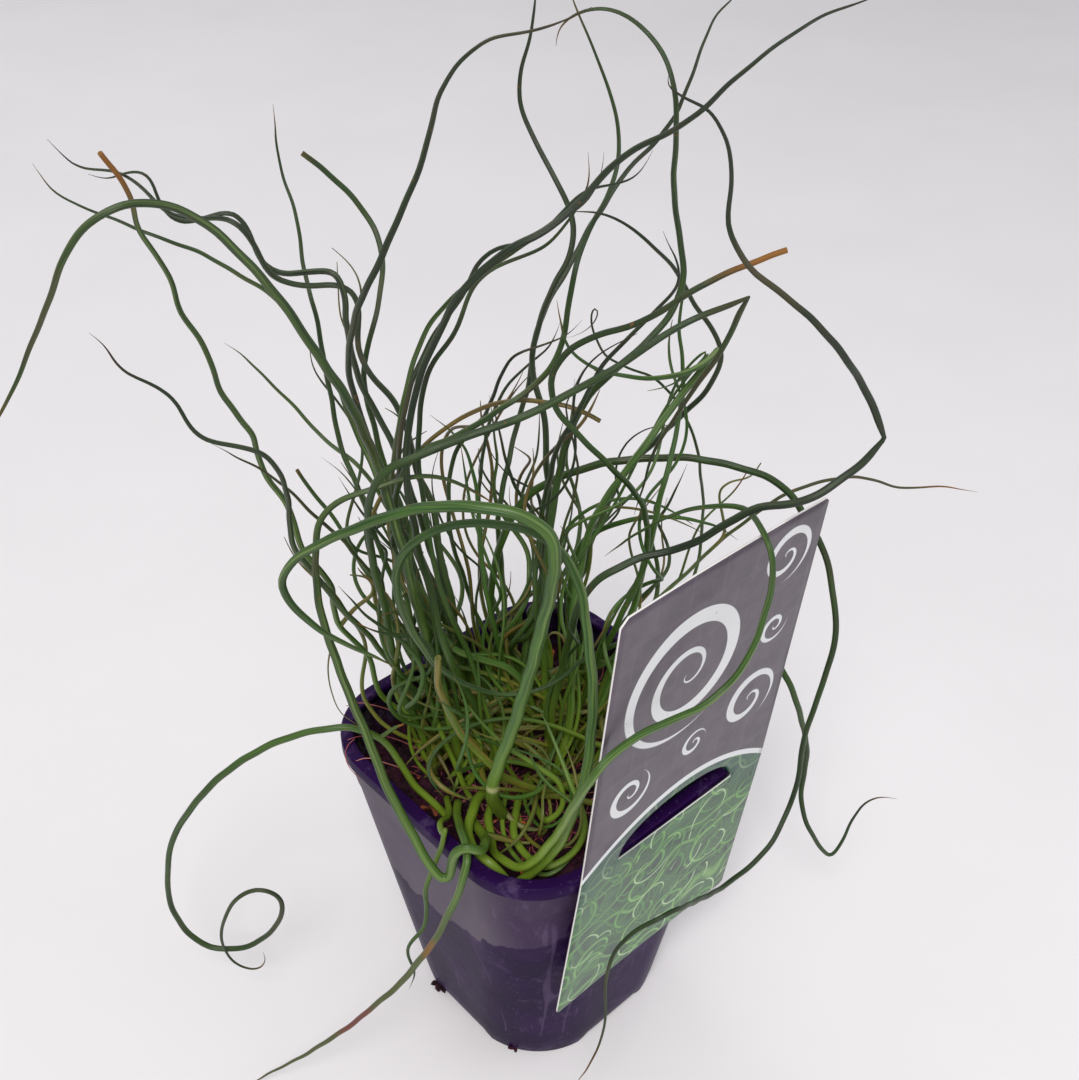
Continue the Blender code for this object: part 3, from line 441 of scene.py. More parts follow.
def solid_path(node):
    """Centres and radii along a stem's solid, from its base to its tip."""
    rings = rings_of(node)
    centres = np.array([ring.mean(axis=0) for ring in rings])
    radii = np.array([np.linalg.norm(ring - ring.mean(axis=0), axis=1).mean() for ring in rings])
    if from_soil(centres[0]) > from_soil(centres[-1]):
        centres = centres[::-1]
        radii = radii[::-1]
    return centres, radii / CORNER_REACH


PATHS = {node: solid_path(node) for node in STEM_NODES}
print("stems:", len(PATHS), "rings:", sum(len(centres) for centres, _ in PATHS.values()))

# %% [markdown]
# ## How thick each stem is
# The solids are a little thicker than the stems in the photograph. So each drawn stem is grown on the
# middle line of its solid, at a share of its thickness. The shares were found by measuring the widths of
# the stems in the picture. Stems of one share stand in one row of the table, and a small function turns
# the rows into a value for each node.

# %% Thickness of the drawn stems
USUAL_GIRTH = 0.87                  # share of its solid's thickness that a drawn stem keeps


def stems(names):
    """The nodes of the stems in a list of short names."""
    return ["stem_" + name for name in names.split()]


def by_stem(table):
    """A table of values with the short names they hold for, turned into one value for each node."""
    return {node: value for value, names in table.items() for node in stems(names)}


GIRTH = by_stem({
    0.66: "dark_long",
    0.68: "curl",
    0.7: "bright_fold olive_arch brown_hair left_hook strand_b strand_c",
    0.71: "orange_left",
    0.72: "left_brown orange_right strand_a left_stub",
    0.73: "great_arch",
    0.74: "left_twist_b top_right",
    0.75: "folded_dark",
    0.76: "left_twist_a",
    0.77: "kinked_right",
    0.78: "top_s thin_tall",
    0.8: "cut_tall trail_right_a top_bow left_low bend_dark_a bend_dark_b",
    0.86: "spiral_left",
    0.95: "front_arch",
    1.0: "trail_left trail_right_b bright_front",
    1.1: "curly_thin"})
print("stems with a thickness of their own:", len(GIRTH))

# %% [markdown]
# ## From straight runs to a living line
# The solids run straight from ring to ring. A Catmull-Rom curve through the same centres bends as the
# stem does, and averaging neighbours takes the last stiffness out of it and moves it only a little.
# Three stems are creased: there the curve is cut in two, so that the corner stays sharp. A little slow
# noise keeps a line from looking like wire. Every line starts six millimetres down in the peat, because
# a rush grows out of the soil.

# %% Draw and soften a curve
STEP = 1.5 * MM                     # way between two points of a drawn line


def smooth_line(points, values, step=STEP):
    """A centripetal Catmull-Rom curve through points, and values shared out along it."""
    padded = np.vstack([2 * points[0] - points[1], points, 2 * points[-1] - points[-2]])
    line = []
    thick = []
    for k in range(len(points) - 1):
        a, b, c, d = padded[k:k + 4]
        ab, bc, cd = (max(float(np.linalg.norm(q - p)), 1e-7) ** 0.5
                      for p, q in ((a, b), (b, c), (c, d)))
        leave = ((b - a) / ab - (c - a) / (ab + bc) + (c - b) / bc) * bc
        reach = ((c - b) / bc - (d - b) / (bc + cd) + (d - c) / cd) * bc
        count = max(2, int(np.linalg.norm(c - b) / step))
        for t in np.arange(count) / count:
            line.append(b * (2 * t ** 3 - 3 * t ** 2 + 1) + leave * (t ** 3 - 2 * t ** 2 + t)
                        + c * (3 * t ** 2 - 2 * t ** 3) + reach * (t ** 3 - t ** 2))
            thick.append(values[k] * (1 - t) + values[k + 1] * t)
    line.append(points[-1])
    thick.append(values[-1])
    return np.array(line), np.array(thick)


def soften(line, passes):
    """Average each point with its neighbours, the ends held still."""
    for _ in range(passes):
        line = np.vstack([line[:1], 0.25 * line[:-2] + 0.5 * line[1:-1] + 0.25 * line[2:], line[-1:]])
    return line


trial = smooth_line(np.array(((0, 0, 0), (20, 0, 0), (20, 20, 0))) * MM, np.ones(3))[0]
print("points on a trial bend of 40 mm:", len(trial))

# %% Let a line wander, and keep it in bounds
WOBBLE = 0.3 * MM                   # about how far a line strays, at most
WOBBLE_LENGTH = 24.0 * MM           # length of the longer of its two waves
SHORT_WAVE = 0.43                   # length and height of the shorter wave over the longer one's
STILL_END = 6.0 * MM                # the wobble grows from nothing over this way


def wobble(line, dice):
    """Slow, small sideways noise along a line, none at its ends."""
    steps = np.r_[0.0, np.cumsum(np.linalg.norm(np.diff(line, axis=0), axis=1))]
    offset = np.zeros_like(line)
    for axis in range(3):
        for wave in (1.0, SHORT_WAVE):
            turn = dice.uniform(0, 2 * math.pi)
            offset[:, axis] += wave * np.sin(2 * math.pi * steps / (WOBBLE_LENGTH * wave) + turn)
    ends = np.minimum(1.0, np.minimum(steps, steps[-1] - steps) / STILL_END)
    return line + offset * (WOBBLE * 0.5) * ends[:, None]


def keep_inside(line, radii):
    """Hold a line inside the bare part's box and above the table."""
    room = radii[:, None] * 1.05 + 0.05 * MM
    return np.clip(line, np.array(cad_low) + room, np.array(cad_high) - room)


print("waves, in mm:", round(WOBBLE_LENGTH / MM, 1), "and", round(WOBBLE_LENGTH * SHORT_WAVE / MM, 1))

# %% Crease a line
CREASES = {"stem_folded_dark": (749, 297), "stem_kinked_right": (884, 438), "stem_big_ring": (512, 884)}
PINCH = 3.0 * MM                    # how far a crease narrows its stem to either side
PINCH_DEPTH = 0.4                   # share of the thickness that the narrowest place loses
CORNER_ROOM = 6.0 * MM              # rings of the solid nearer to a crease than this are left out


def creased_line(centres, radii, crease_seen, passes):
    """Two curves that meet in a sharp corner, at the ring that shows nearest to a place in the picture."""
    corner = min(centres, key=lambda centre: math.dist(seen_place(centre)[:2], crease_seen))
    away = np.linalg.norm(centres - corner, axis=1)
    kept = (away < SAME_PLACE) | (away > CORNER_ROOM)
    crease = int(np.argmin(away[kept]))
    centres = centres[kept]
    radii = radii[kept]
    lower, lower_thick = smooth_line(centres[:crease + 1], radii[:crease + 1])
    upper, upper_thick = smooth_line(centres[crease:], radii[crease:])
    line = np.vstack([soften(lower, passes), soften(upper, passes)[1:]])
    away = np.linalg.norm(line - corner, axis=1)
    return line, np.r_[lower_thick, upper_thick[1:]] * (1 - PINCH_DEPTH * np.exp(-(away / PINCH) ** 2))


print("creased stems:", sorted(CREASES))

# %% Root every stem in the peat
ROOT_STEPS = 4                      # steps of a drawn stem down in the peat
ROOT_SLANT = 0.8                    # how far it leans down there, over how deep it goes
SOFTENING = 7                       # passes of softening
TIGHT_SOFTENING = 2                 # the same for stems whose bends are tight
TIGHT = stems("kinked_right bright_front trail_left trail_right_a")


def rooted(line, thick):
    """The same line begun a few steps down in the peat."""
    back = (line[0] - line[1]) * (1.0, 1.0, 0.0)
    down = back * ROOT_SLANT * STEP / max(np.linalg.norm(back), STEP * 0.1) - (0.0, 0.0, STEP)
    line = np.vstack([line[0] + np.arange(ROOT_STEPS, 0, -1)[:, None] * down, line])
    foot = ROOT_STEPS * 2 + 1
    line[:foot] = soften(line[:foot], 2)
    return line, np.r_[np.full(ROOT_STEPS, thick[0]), thick]


def living_line(node):
    """The drawn line of a stem and its radii, rooted in the peat."""
    centres, radii = PATHS[node]
    radii = radii * GIRTH.get(node, USUAL_GIRTH)
    passes = TIGHT_SOFTENING if node in TIGHT else SOFTENING
    if node in CREASES:
        line, thick = creased_line(centres, radii, CREASES[node], passes)
    else:
        line, thick = smooth_line(centres, radii)
        line = soften(line, passes)
    return rooted(keep_inside(wobble(line, random.Random(node)), thick), thick)


LINES = {node: living_line(node) for node in STEM_NODES}
lengths = [np.linalg.norm(np.diff(line, axis=0), axis=1).sum() for line, _ in LINES.values()]
print("stems in all, in m:", round(sum(lengths), 2), "longest:", round(max(lengths), 3))

# %% [markdown]
# ## The stem tree
# A soft rush's stem is a leafless cylinder, a little flattened, with fine ribs along it. One Geometry
# Nodes tree makes them all: it follows a line, sweeps a slightly oval ring along it that turns slowly,
# and lets the thickness vary by a few percent. It also stores where on the stem each point lies: the
# side it faces, the way from the base, and the share of the whole length. The finish reads those, so its
# ribs and streaks follow the stem round every curl.

# %% Build the stem tree
stem_tree, make, given = start_tree("stem_along_a_line", {
    "Geometry": ("Geometry", None),
    "Sides": ("Int", 14),
    "Spacing": ("Float", 1.0 * MM),
    "Flattening": ("Float", 0.13),
    "Twist": ("Float", 18.0),
    "Knobbliness": ("Float", 0.1),
    "Material": ("Material", None)})
line = make.node("GeometryNodeMeshToCurve", None, {"Mesh": given["Geometry"]})["Curve"]
line = make.node("GeometryNodeResampleCurve", {"mode": "LENGTH"},
                 {"Curve": line, "Length": given["Spacing"]})["Curve"]
measure = make.node("GeometryNodeSplineParameter")
growth = make.point(measure["Factor"], measure["Length"], 0.0)
line = make.node("GeometryNodeStoreNamedAttribute", {"data_type": "FLOAT_VECTOR"},
                 {"Geometry": line, "Name": "growth", "Value": growth})["Geometry"]
line = make.node("GeometryNodeSetCurveTilt", None,
                 {"Curve": line, "Tilt": measure["Length"] * given["Twist"]})["Curve"]
ring = make.node("GeometryNodeCurvePrimitiveCircle", None,
                 {"Resolution": given["Sides"], "Radius": 1.0})["Curve"]
where = make.node("GeometryNodeInputPosition")["Position"]
ring = make.node("GeometryNodeStoreNamedAttribute", {"data_type": "FLOAT_VECTOR"},
                 {"Geometry": ring, "Name": "side", "Value": where})["Geometry"]
oval = make.stretch(where, make.point(1.0, 1.0 - given["Flattening"], 1.0))
ring = make.node("GeometryNodeSetPosition", None, {"Geometry": ring, "Position": oval})["Geometry"]
knobs = make.noise(where, 75.0, 2.0) - 0.5
thick = make.node("GeometryNodeInputNamedAttribute", {"data_type": "FLOAT"}, {"Name": "thick"})
size = thick["Attribute"] * (1.0 + knobs * given["Knobbliness"])
tube = make.node("GeometryNodeCurveToMesh", None,
                 {"Curve": line, "Profile Curve": ring, "Scale": size, "Fill Caps": True})["Mesh"]
tube = make.node("GeometryNodeSetShadeSmooth", None, {"Geometry": tube})["Geometry"]
end_tree(make, tube, given["Material"])
print("stem tree nodes:", len(stem_tree.nodes))

# %% [markdown]
# ## The stem finish
# The stems are satin, from blue-green to olive, each its own tone. They start lime-yellow in the shade of
# the crown and end in a dry brown tip. Along them run fine ribs and pale streaks, with a few rusty
# flecks. All four shades of stem share one recipe, so only the colours differ. One stem in front is
# folded and has a pale bruise there, so that place is found first.

# %% Find where the front stem is folded
FOLD_SEEN = (492, 787)              # where the fold shows in the picture
FOLD_PLACE = min(LINES["stem_bright_front"][0], key=lambda p: math.dist(seen_place(p)[:2], FOLD_SEEN))
print("fold, in mm:", [round(float(part) / MM, 1) for part in FOLD_PLACE])

# %% Colours of the stems
LIME = screen(124, 150, 44)         # the youngest part, in the shade of the crown
FRESH_LIT = screen(92, 130, 48)         # the foot of an older stem, lightened there as painted light
AGED_SHADED = screen(42, 52, 32)           # its far part, darkened as painted shade
FOLD = screen(206, 204, 150)        # the bruise where the front stem is folded
RUST = screen(140, 90, 38)          # flecks, and the ends of most stems
RED_RUST = screen(118, 58, 56)      # the red stretch of the reddened stem
OLIVE = screen(84, 88, 46)          # the rest of that stem
BARK = screen(82, 60, 54)           # the ends of the dark stems
BRONZE = screen(86, 74, 52)         # bronzed stretches of older stems
STRAW = screen(152, 120, 62)        # pale streaks in a dead end
print("light in the freshest and the oldest green:", round(FRESH_LIT[1], 3), round(AGED_SHADED[1], 3))

# %% Streaks, age and the reddened stem
RED_STRETCH = (0.107, 0.112, 0.122, 0.129)      # on the reddened stem, in m from its base
ORANGE_STRETCH = (0.071, 0.075, 0.078, 0.082)


def ribbed_green(make, place, along, tone, side, tones):
    """Pale streaks, partly painted highlights, and dark clouds over the body's green: colour, streaks,
    clouds.
    """
    east, north = side
    body, shade, light = tones
    streaks = make.noise(make.point(east * 2.6, north * 2.6, along * 70.0), 1.0, 4.0, 0.6)
    long_streaks = make.noise(make.point(east * 1.3, north * 1.3, along * 14.0), 1.0, 2.0)
    clouds = make.noise(place, 55.0, 3.0)
    colour = make.mix(make.band(streaks, 0.35, 0.68), shade, body)
    # the light tone in long pale streaks: partly the stem's own striations, partly painted highlights
    colour = make.mix(make.band(long_streaks + tone * 0.16, 0.5, 0.78) * 0.75, colour, light)
    colour = make.mix(make.band(clouds - tone * 0.14, 0.52, 0.74) * 0.5, colour, shade)
    return colour, streaks, clouds


def stretch_of(make, along, limits):
    """1 between the middle two of four places along a stem, 0 outside the outer two."""
    start, full, waning, end = limits
    return make.band(along, start, full) * make.fade(along, waning, end)


def aged_and_shaded(make, colour, along, tone, clouds, bronzed):
    """A fresher foot and a duller far part, from age and painted light and shade; bronzed stretches between.
    """
    colour = make.mix(make.fade(along, 0.03, 0.13) * 0.42, colour, FRESH_LIT)
    colour = make.mix(make.band(along, 0.1, 0.26) * 0.5, colour, AGED_SHADED)
    stretches = make.noise(make.point(along * 30.0, tone * 9.0, clouds * 2.0), 1.0, 1.0)
    stretches = make.band(stretches + tone * 0.05, 0.5, 0.72) * make.band(along, 0.06, 0.13)
    return make.mix(stretches * bronzed, colour, BRONZE)


def reddened(make, colour, along, mark, streaks):
    """Olive, orange and red on the one stem that is known by its mark; no change on the others."""
    marked = make.band(mark, 1.2, 1.5)
    rough_along = along + (streaks - 0.5) * 0.008
    colour = make.mix(marked * make.band(along, 0.05, 0.075) * 0.65, colour, OLIVE)
    colour = make.mix(marked * stretch_of(make, rough_along, RED_STRETCH) * 0.85, colour, RED_RUST)
    return make.mix(marked * stretch_of(make, rough_along, ORANGE_STRETCH) * 0.7, colour, RUST)


print("red stretch, in mm:", round((RED_STRETCH[3] - RED_STRETCH[0]) / MM, 1))

# %% The recipe for a stem's finish
RIBS = 18                           # ribs round a stem


def stem_finish(name, tones, bronzed, dead):
    """A ribbed, streaked stem in three tones of one green, with bronzed stretches and a dead tip."""
    finish, make, place = start_finish(name, 0.38)
    share, along, _ = make.stored("growth")
    east, north, _ = make.stored("side")
    mark, dry, lime = make.stored("nature")
    tone = make.maths("MINIMUM", mark, 0.6)
    colour, streaks, clouds = ribbed_green(make, place, along, tone, (east, north), tones)
    colour = aged_and_shaded(make, colour, along, tone, clouds, bronzed)
    colour = reddened(make, colour, along, mark, streaks)
    # the lime foot, rusty flecks and the dead end
    young = make.fade(along, lime * 0.3, lime)
    colour = make.mix(young * (0.55 + streaks * 0.5), colour, LIME)
    flecks = make.band(make.noise(place, 620.0, 2.0), 0.69, 0.75) * make.band(clouds, 0.42, 0.6)
    colour = make.mix(flecks * 0.55, colour, RUST)
    drying = make.band(share + (streaks - 0.5) * 0.08, dry - 0.02, dry + 0.05)
    colour = make.mix(drying, colour, dead)
    strawy = make.band(share, dry + 0.03, 1.03) * make.band(streaks, 0.4, 0.6)
    colour = make.mix(strawy * 0.7, colour, STRAW)
    # shade between the ribs, and the fold
    ribs = make.maths("SINE", make.maths("ARCTAN2", north, east) * RIBS) * 0.5 + 0.5
    colour = make.mix((1.0 - ribs) * 0.22, colour, tones[1])
    to_fold = make.vector("DISTANCE", place, FOLD_PLACE)["Value"]
    colour = make.mix(make.fade(to_fold, 1.2 * MM, 2.6 * MM) * 0.8, colour, FOLD)
    roughness = 0.27 + streaks * 0.2 + drying * 0.3 + flecks * 0.15
    fine = make.bump(ribs, 0.05 * MM, 0.75)
    make.surface(colour, roughness, make.bump(streaks, 0.09 * MM, 0.5, fine))
    return finish


print("a rib's width on a 3 mm stem, in mm:", round(3 * math.pi / RIBS, 2))

# %% Mix the four shades
SHADES = {      # slot of the solids: name, body, shade and light tones, how bronzed, the dead end
    "stem_green": ("rush_green", (64, 90, 38), (33, 49, 28), (118, 140, 80), 0.4, RUST),
    "stem_dark": ("rush_dark", (48, 62, 38), (27, 36, 27), (86, 98, 68), 0.6, BARK),
    "stem_bright": ("rush_bright", (74, 108, 43), (40, 70, 33), (136, 158, 96), 0.1, RUST),
    "stem_brown": ("rush_olive", (76, 82, 44), (46, 50, 32), (110, 106, 66), 0.7, RUST)}
STEM_FINISHES = {slot: stem_finish(name, [screen(*tone) for tone in tones], bronzed, dead)
                 for slot, (name, *tones, bronzed, dead) in SHADES.items()}
print("nodes in each stem finish:", len(STEM_FINISHES["stem_green"].node_tree.nodes))

# %% [markdown]
# ## Growing the stems
# Each stem is grown on its own line and stands for its own solid. Three values go with it: its tone, the
# share of its length at which it turns dry, and how far up it is lime-yellow. Most stems end in a fine
# point, so their last few millimetres are drawn out. A few were cut, and those keep a blunt end.

# %% What is special about some stems
CUT = stems("cut_tall orange_right orange_left left_stub bright_swoop olive_arch")
LIME_REACH = by_stem({              # in m from the base
    0.115: "big_ring", 0.11: "over_label", 0.1: "front_loop", 0.09: "u_loop bright_swoop",
    0.07: "curly_thin", 0.055: "bright_front"})
SCORCHED = by_stem({                # the share of its length at which a stem turns dry
    0.9: "right_thin", 0.925: "orange_right orange_left", 0.93: "left_low", 0.96: "trail_left",
    0.99: "left_stub", 0.995: "cut_tall", 1.1: "olive_arch bright_swoop"})
# front_arch and bright_fold get light tones so that their streaks paint in highlights
TONES = by_stem({                   # from -1, dark, to 1, light; over 1.2 is the mark of a reddened stem
    -0.9: "orange_right", -0.6: "folded_dark", 0.3: "bright_front", 0.5: "bright_fold",
    0.55: "front_arch", 1.6: "trail_left"})
print("cut stems:", len(CUT))

# %% Grow one piece for each stem
TIP_LENGTH = 9 * MM                 # the way over which a stem runs out to its tip
TIP_SHARE = 0.22                    # thickness left at the very tip


def path_object(name, strands):
    """Lines of edges; each point carries its thickness and the nature of its stem."""
    points = []
    edges = []
    thick = []
    nature = []
    for line, radii, own in strands:
        edges += [(i, i + 1) for i in range(len(points), len(points) + len(line) - 1)]
        points += [tuple(p) for p in line]
        thick += list(radii)
        nature += list(own) * len(line)
    mesh = bpy.data.meshes.new(name)
    mesh.from_pydata(points, edges, [])
    mesh.attributes.new("thick", "FLOAT", "POINT").data.foreach_set("value", np.float32(thick))
    mesh.attributes.new("nature", "FLOAT_VECTOR", "POINT").data.foreach_set("vector", np.float32(nature))
    return place_mesh(name, mesh)


def draw_out(radii, length=TIP_LENGTH):
    """Bring the last points of a stem to a fine tip."""
    from_tip = np.arange(len(radii))[::-1] * STEP
    return radii * np.minimum(1.0, TIP_SHARE + from_tip / length)


stem_faces = 0
for node, (line, radii) in LINES.items():
    dice = random.Random(node + "tone")
    own = (TONES.get(node, dice.uniform(-1, 1)), SCORCHED.get(node, dice.uniform(0.955, 0.99)),
           LIME_REACH.get(node, dice.uniform(0.03, 0.05)))
    host = path_object(node + "_line", [(line, radii if node in CUT else draw_out(radii), own)])
    finish = STEM_FINISHES[slot_of(node)]
    mesh = run_tree(stem_tree, host, {"Material": finish, "Twist": dice.uniform(6, 30)})
    hand_over(place_mesh(node.replace("stem_", "rush_"), mesh), slot_of(node), node)
    stem_faces += len(mesh.polygons)
print("faces in the stems:", stem_faces)

# %% [markdown]
# ## The dense heart of the plant
# A potted rush has far more stems than the 57 large ones. Thinner companions wind round the large stems,
# and short young ones curl low over the peat. A companion's line is a copy of the first part of a large
# stem's line, pushed aside by a slow spiral, so it never reaches past the stem that it follows. The young
# ones are walked step by step: they rise, turn at a slowly changing rate and arch over.

# %% Which stems have company
LOOSE = stems("trail_left trail_right_a trail_right_b spiral_left front_arch bright_front over_label"
              " big_ring curl right_thin left_hook brown_hair")
BARE = stems("kinked_right orange_left great_arch top_right top_s left_thin cut_tall hook_top left_low"
             " far_left_arch dark_long orange_right left_mid left_brown left_stub strand_a strand_b"
             " strand_c left_twist_a left_twist_b")
COMPANY = (75 * MM, 160 * MM)       # shortest and longest companion
COMPANY_BARE = (45 * MM, 90 * MM)   # the same where the large stem soon runs alone
print("stems with no companion:", len(LOOSE), "with one:", len(BARE),
      "with two:", len(STEM_NODES) - len(LOOSE) - len(BARE))

# %% A companion's line
ROUND = 6.28                        # a full turn, in radians


def carried_frame(line):
    """Two directions square to a line that don't spin along it."""
    ahead = np.gradient(line, axis=0)
    ahead /= np.linalg.norm(ahead, axis=1)[:, None]
    side = np.cross(ahead[0], (0.3, 0.8, 0.5))
    sides = []
    for direction in ahead:
        side = side - direction * side.dot(direction)
        side = side / np.linalg.norm(side)
        sides.append(side)
    sides = np.array(sides)
    return sides, np.cross(ahead, sides)


def companion(node, dice):
    """A thinner stem that winds round the first part of a large one."""
    line = LINES[node][0]
    wished = dice.uniform(*(COMPANY_BARE if node in BARE else COMPANY))
    last = min(int(len(line) * 0.9), int(wished / STEP))
    line = line[:last]
    along = np.arange(last) * STEP
    sides, ups = carried_frame(line)
    turn = dice.uniform(0, ROUND) + dice.choice((-1, 1)) * along * ROUND / dice.uniform(0.035, 0.075)
    reach = dice.uniform(2.4, 5.2) * MM * (1 + 0.4 * np.sin(along / (17 * MM) + dice.uniform(0, 6)))
    offset = (sides * np.cos(turn)[:, None] + ups * np.sin(turn)[:, None]) * reach[:, None]
    offset[:, 2] *= np.minimum(1.0, along / (16 * MM))
    girth = dice.uniform(0.5, 0.85) * MM * (1 - 0.45 * along / along[-1])
    return soften(line + offset, 4), draw_out(girth, dice.uniform(8, 25) * MM)


trial = companion(STEM_NODES[0], random.Random(0))[0]
print("a trial companion rises by, in mm:", round(float(trial[-1, 2] - trial[0, 2]) / MM, 1))

# %% A young stem's line
START_HALF = 31                     # in mm, how far a young stem may start from the axis to each side
NEAR_CORNER = -20 * MM              # x + y of the line past which it would stand at the front corner
MOVED_BACK = 24 * MM                # how far back one of those is moved along both axes
HOME = 5 * MM                       # the tuft's middle lies this far from the axis toward -x and -y
FREE_REACH = 20 * MM                # a young stem grows freely up to here from the tuft's middle
HOMESICK = 12 * MM                  # the way past that over which it turns back in earnest


def young_stem(dice):
    """A short stem that rises from the peat and curls over, turning back before it leaves the pot."""
    place = np.array((dice.uniform(-START_HALF, START_HALF), dice.uniform(-START_HALF, START_HALF), 0.0)) * MM
    if place[0] + place[1] < NEAR_CORNER:
        place[:2] += MOVED_BACK
    place[2] = SOIL_TOP - ROOT_STEPS * STEP
    steps = int(dice.uniform(24, 62))
    heading = dice.uniform(0, ROUND)
    turn = dice.choice((-1, 1)) * dice.uniform(0.03, 0.085)
    climb = dice.uniform(0.8, 1.4)
    fall = dice.uniform(1.5, 2.7) / steps
    line = []
    for _ in range(steps):
        line.append(place.copy())
        flat = math.cos(climb)
        direction = (math.cos(heading) * flat, math.sin(heading) * flat, math.sin(climb))
        place = place + np.array(direction) * STEP
        outward = place[:2] + HOME
        strayed = max(0.0, np.linalg.norm(outward) - FREE_REACH) / HOMESICK
        back = math.atan2(-outward[1], -outward[0])
        heading += turn + 0.22 * strayed * math.sin(back - heading)
        turn += dice.uniform(-0.012, 0.012)
        climb -= fall
    line = soften(np.array(line), 3)
    grown = np.arange(steps) > ROOT_STEPS + 2
    line[grown, 2] = np.maximum(line[grown, 2], SOIL_TOP + 0.8 * MM)
    girth = dice.uniform(0.65, 1.15) * MM * np.linspace(1.0, 0.75, steps)
    return soften(line, 2), draw_out(girth, dice.uniform(6, 20) * MM)


trial = young_stem(random.Random(0))[0]
print("a trial young stem rises over the peat by, in mm:", round((trial[:, 2].max() - SOIL_TOP) / MM, 1))

# %% Keep the thin stems in the pot's mouth
MOUTH_TOP = 106 * MM                # below this height a thin stem stays inside the lip
RIM_ROOM = 37.0 * MM                # how far from the axis it may be there
ROUNDING = 18 * MM                  # radius of the mouth's corners, a little within the lip's
ROUNDING_FROM = 19 * MM             # where they begin
LABEL_TOP = 192 * MM                # behind the label, below this height
LABEL_SIDE = 46 * MM                # and this near to the middle,
LABEL_ROOM = -37.5 * MM             # a thin stem doesn't come nearer to the front than this
SMALL_PUSH = 1.2 * MM               # a line that has to be moved further than this is drawn again


def in_mouth(line):
    """Push a line into the pot's mouth and behind the label."""
    low = line[:, 2] < MOUTH_TOP
    for axis in (0, 1):
        line[low, axis] = np.clip(line[low, axis], -RIM_ROOM, RIM_ROOM)
    corner = np.maximum(np.abs(line[:, :2]) - ROUNDING_FROM, 0.0)
    reach = np.hypot(corner[:, 0], corner[:, 1])
    shrink = np.where(low & (reach > ROUNDING), ROUNDING / np.maximum(reach, 1e-9), 1.0)
    line[:, :2] -= np.sign(line[:, :2]) * corner * (1 - shrink)[:, None]
    near_label = (line[:, 2] < LABEL_TOP) & (np.abs(line[:, 0]) < LABEL_SIDE)
    line[near_label, 1] = np.maximum(line[near_label, 1], LABEL_ROOM)
    return line


def first_that_fits(draw, tries=24):
    """Draw lines until one hardly needs pushing back into the pot's mouth, or give up."""
    for _ in range(tries):
        line, girth = draw()
        if np.abs(in_mouth(line.copy()) - line).max() < SMALL_PUSH:
            return keep_inside(soften(in_mouth(line), 2), girth), girth
    return None


print("mouth of the pot, in mm:", round(2 * RIM_ROOM / MM, 1))

# %% Grow companions and young stems
YOUNG = 54                          # young stems to try
THIN_SIDES = 9
dice = random.Random(7)
crowd = {"stem_green": [], "stem_dark": [], "stem_bright": []}
for node in STEM_NODES:
    slot = slot_of(node)
    for _ in range(0 if node in LOOSE else 1 if node in BARE else 2):
        drawn = first_that_fits(lambda: companion(node, dice))
        if drawn:
            own = (dice.uniform(-1, 1), dice.uniform(0.95, 1.05), dice.uniform(0.03, 0.055))
            crowd[slot if slot in crowd else "stem_green"].append((*drawn, own))
for _ in range(YOUNG):
    drawn = first_that_fits(lambda: young_stem(dice))
    if drawn:
        own = (dice.uniform(-1, 1), dice.uniform(0.98, 1.1), dice.choice((0.015, 0.025, 0.04, 0.06)))
        crowd[dice.choice(("stem_bright", "stem_green", "stem_green"))].append((*drawn, own))
for slot, strands in crowd.items():
    host = path_object(slot + "_lines", strands)
    mesh = run_tree(stem_tree, host, {
        "Material": STEM_FINISHES[slot], "Sides": THIN_SIDES, "Spacing": 1.2 * MM})
    piece = place_mesh(slot.replace("stem_", "thin_rushes_"), mesh)
    hand_over(piece, slot)
    print(piece.name, "stems:", len(strands), "faces:", len(mesh.polygons))

# %% [markdown]
# ## Hairs and hooks
# The finest things are dead hair-like tips, little hooks and a few stubs. Their routes are given as
# places in the picture. Each starts on the stem that shows nearest to its first place, so it hangs on
# that stem from every side and not only from the front.

# %% Routes of the hairs
HAIRS = [       # slot, radius at the start in mm, places in the picture
    ("stem_dark", 0.32, ((343, 340), (341, 318), (338, 285), (337, 262))),
    ("stem_dark", 0.30, ((364, 302), (361, 288), (357, 275), (347, 261), (332, 248))),
    ("stem_dark", 0.75, ((342, 628), (355, 608), (373, 593), (372, 583), (366, 577), (350, 575))),
    ("stem_green", 0.60, ((716, 550), (724, 535), (723, 517), (720, 503), (720, 490), (730, 482),
                          (750, 477), (761, 463))),
    ("stem_brown", 0.45, ((672, 575), (700, 525), (735, 490), (750, 467))),
    ("stem_dark", 0.55, ((570, 646), (561, 634), (551, 631), (547, 639))),
    ("stem_brown", 0.8, ((385, 736), (394, 728), (404, 724))),
    ("stem_bright", 1.2, ((484, 834), (500, 838), (515, 842), (530, 843))),
    ("stem_brown", 0.22, ((484, 836), (488, 848), (493, 857), (498, 863))),
    ("stem_brown", 0.3, ((404, 424), (396, 414), (385, 408))),
    ("stem_green", 0.35, ((608, 382), (602, 374), (594, 370))),
    ("stem_dark", 0.28, ((334, 648), (328, 668), (331, 690), (341, 713), (356, 724))),
]
print("hairs:", len(HAIRS))

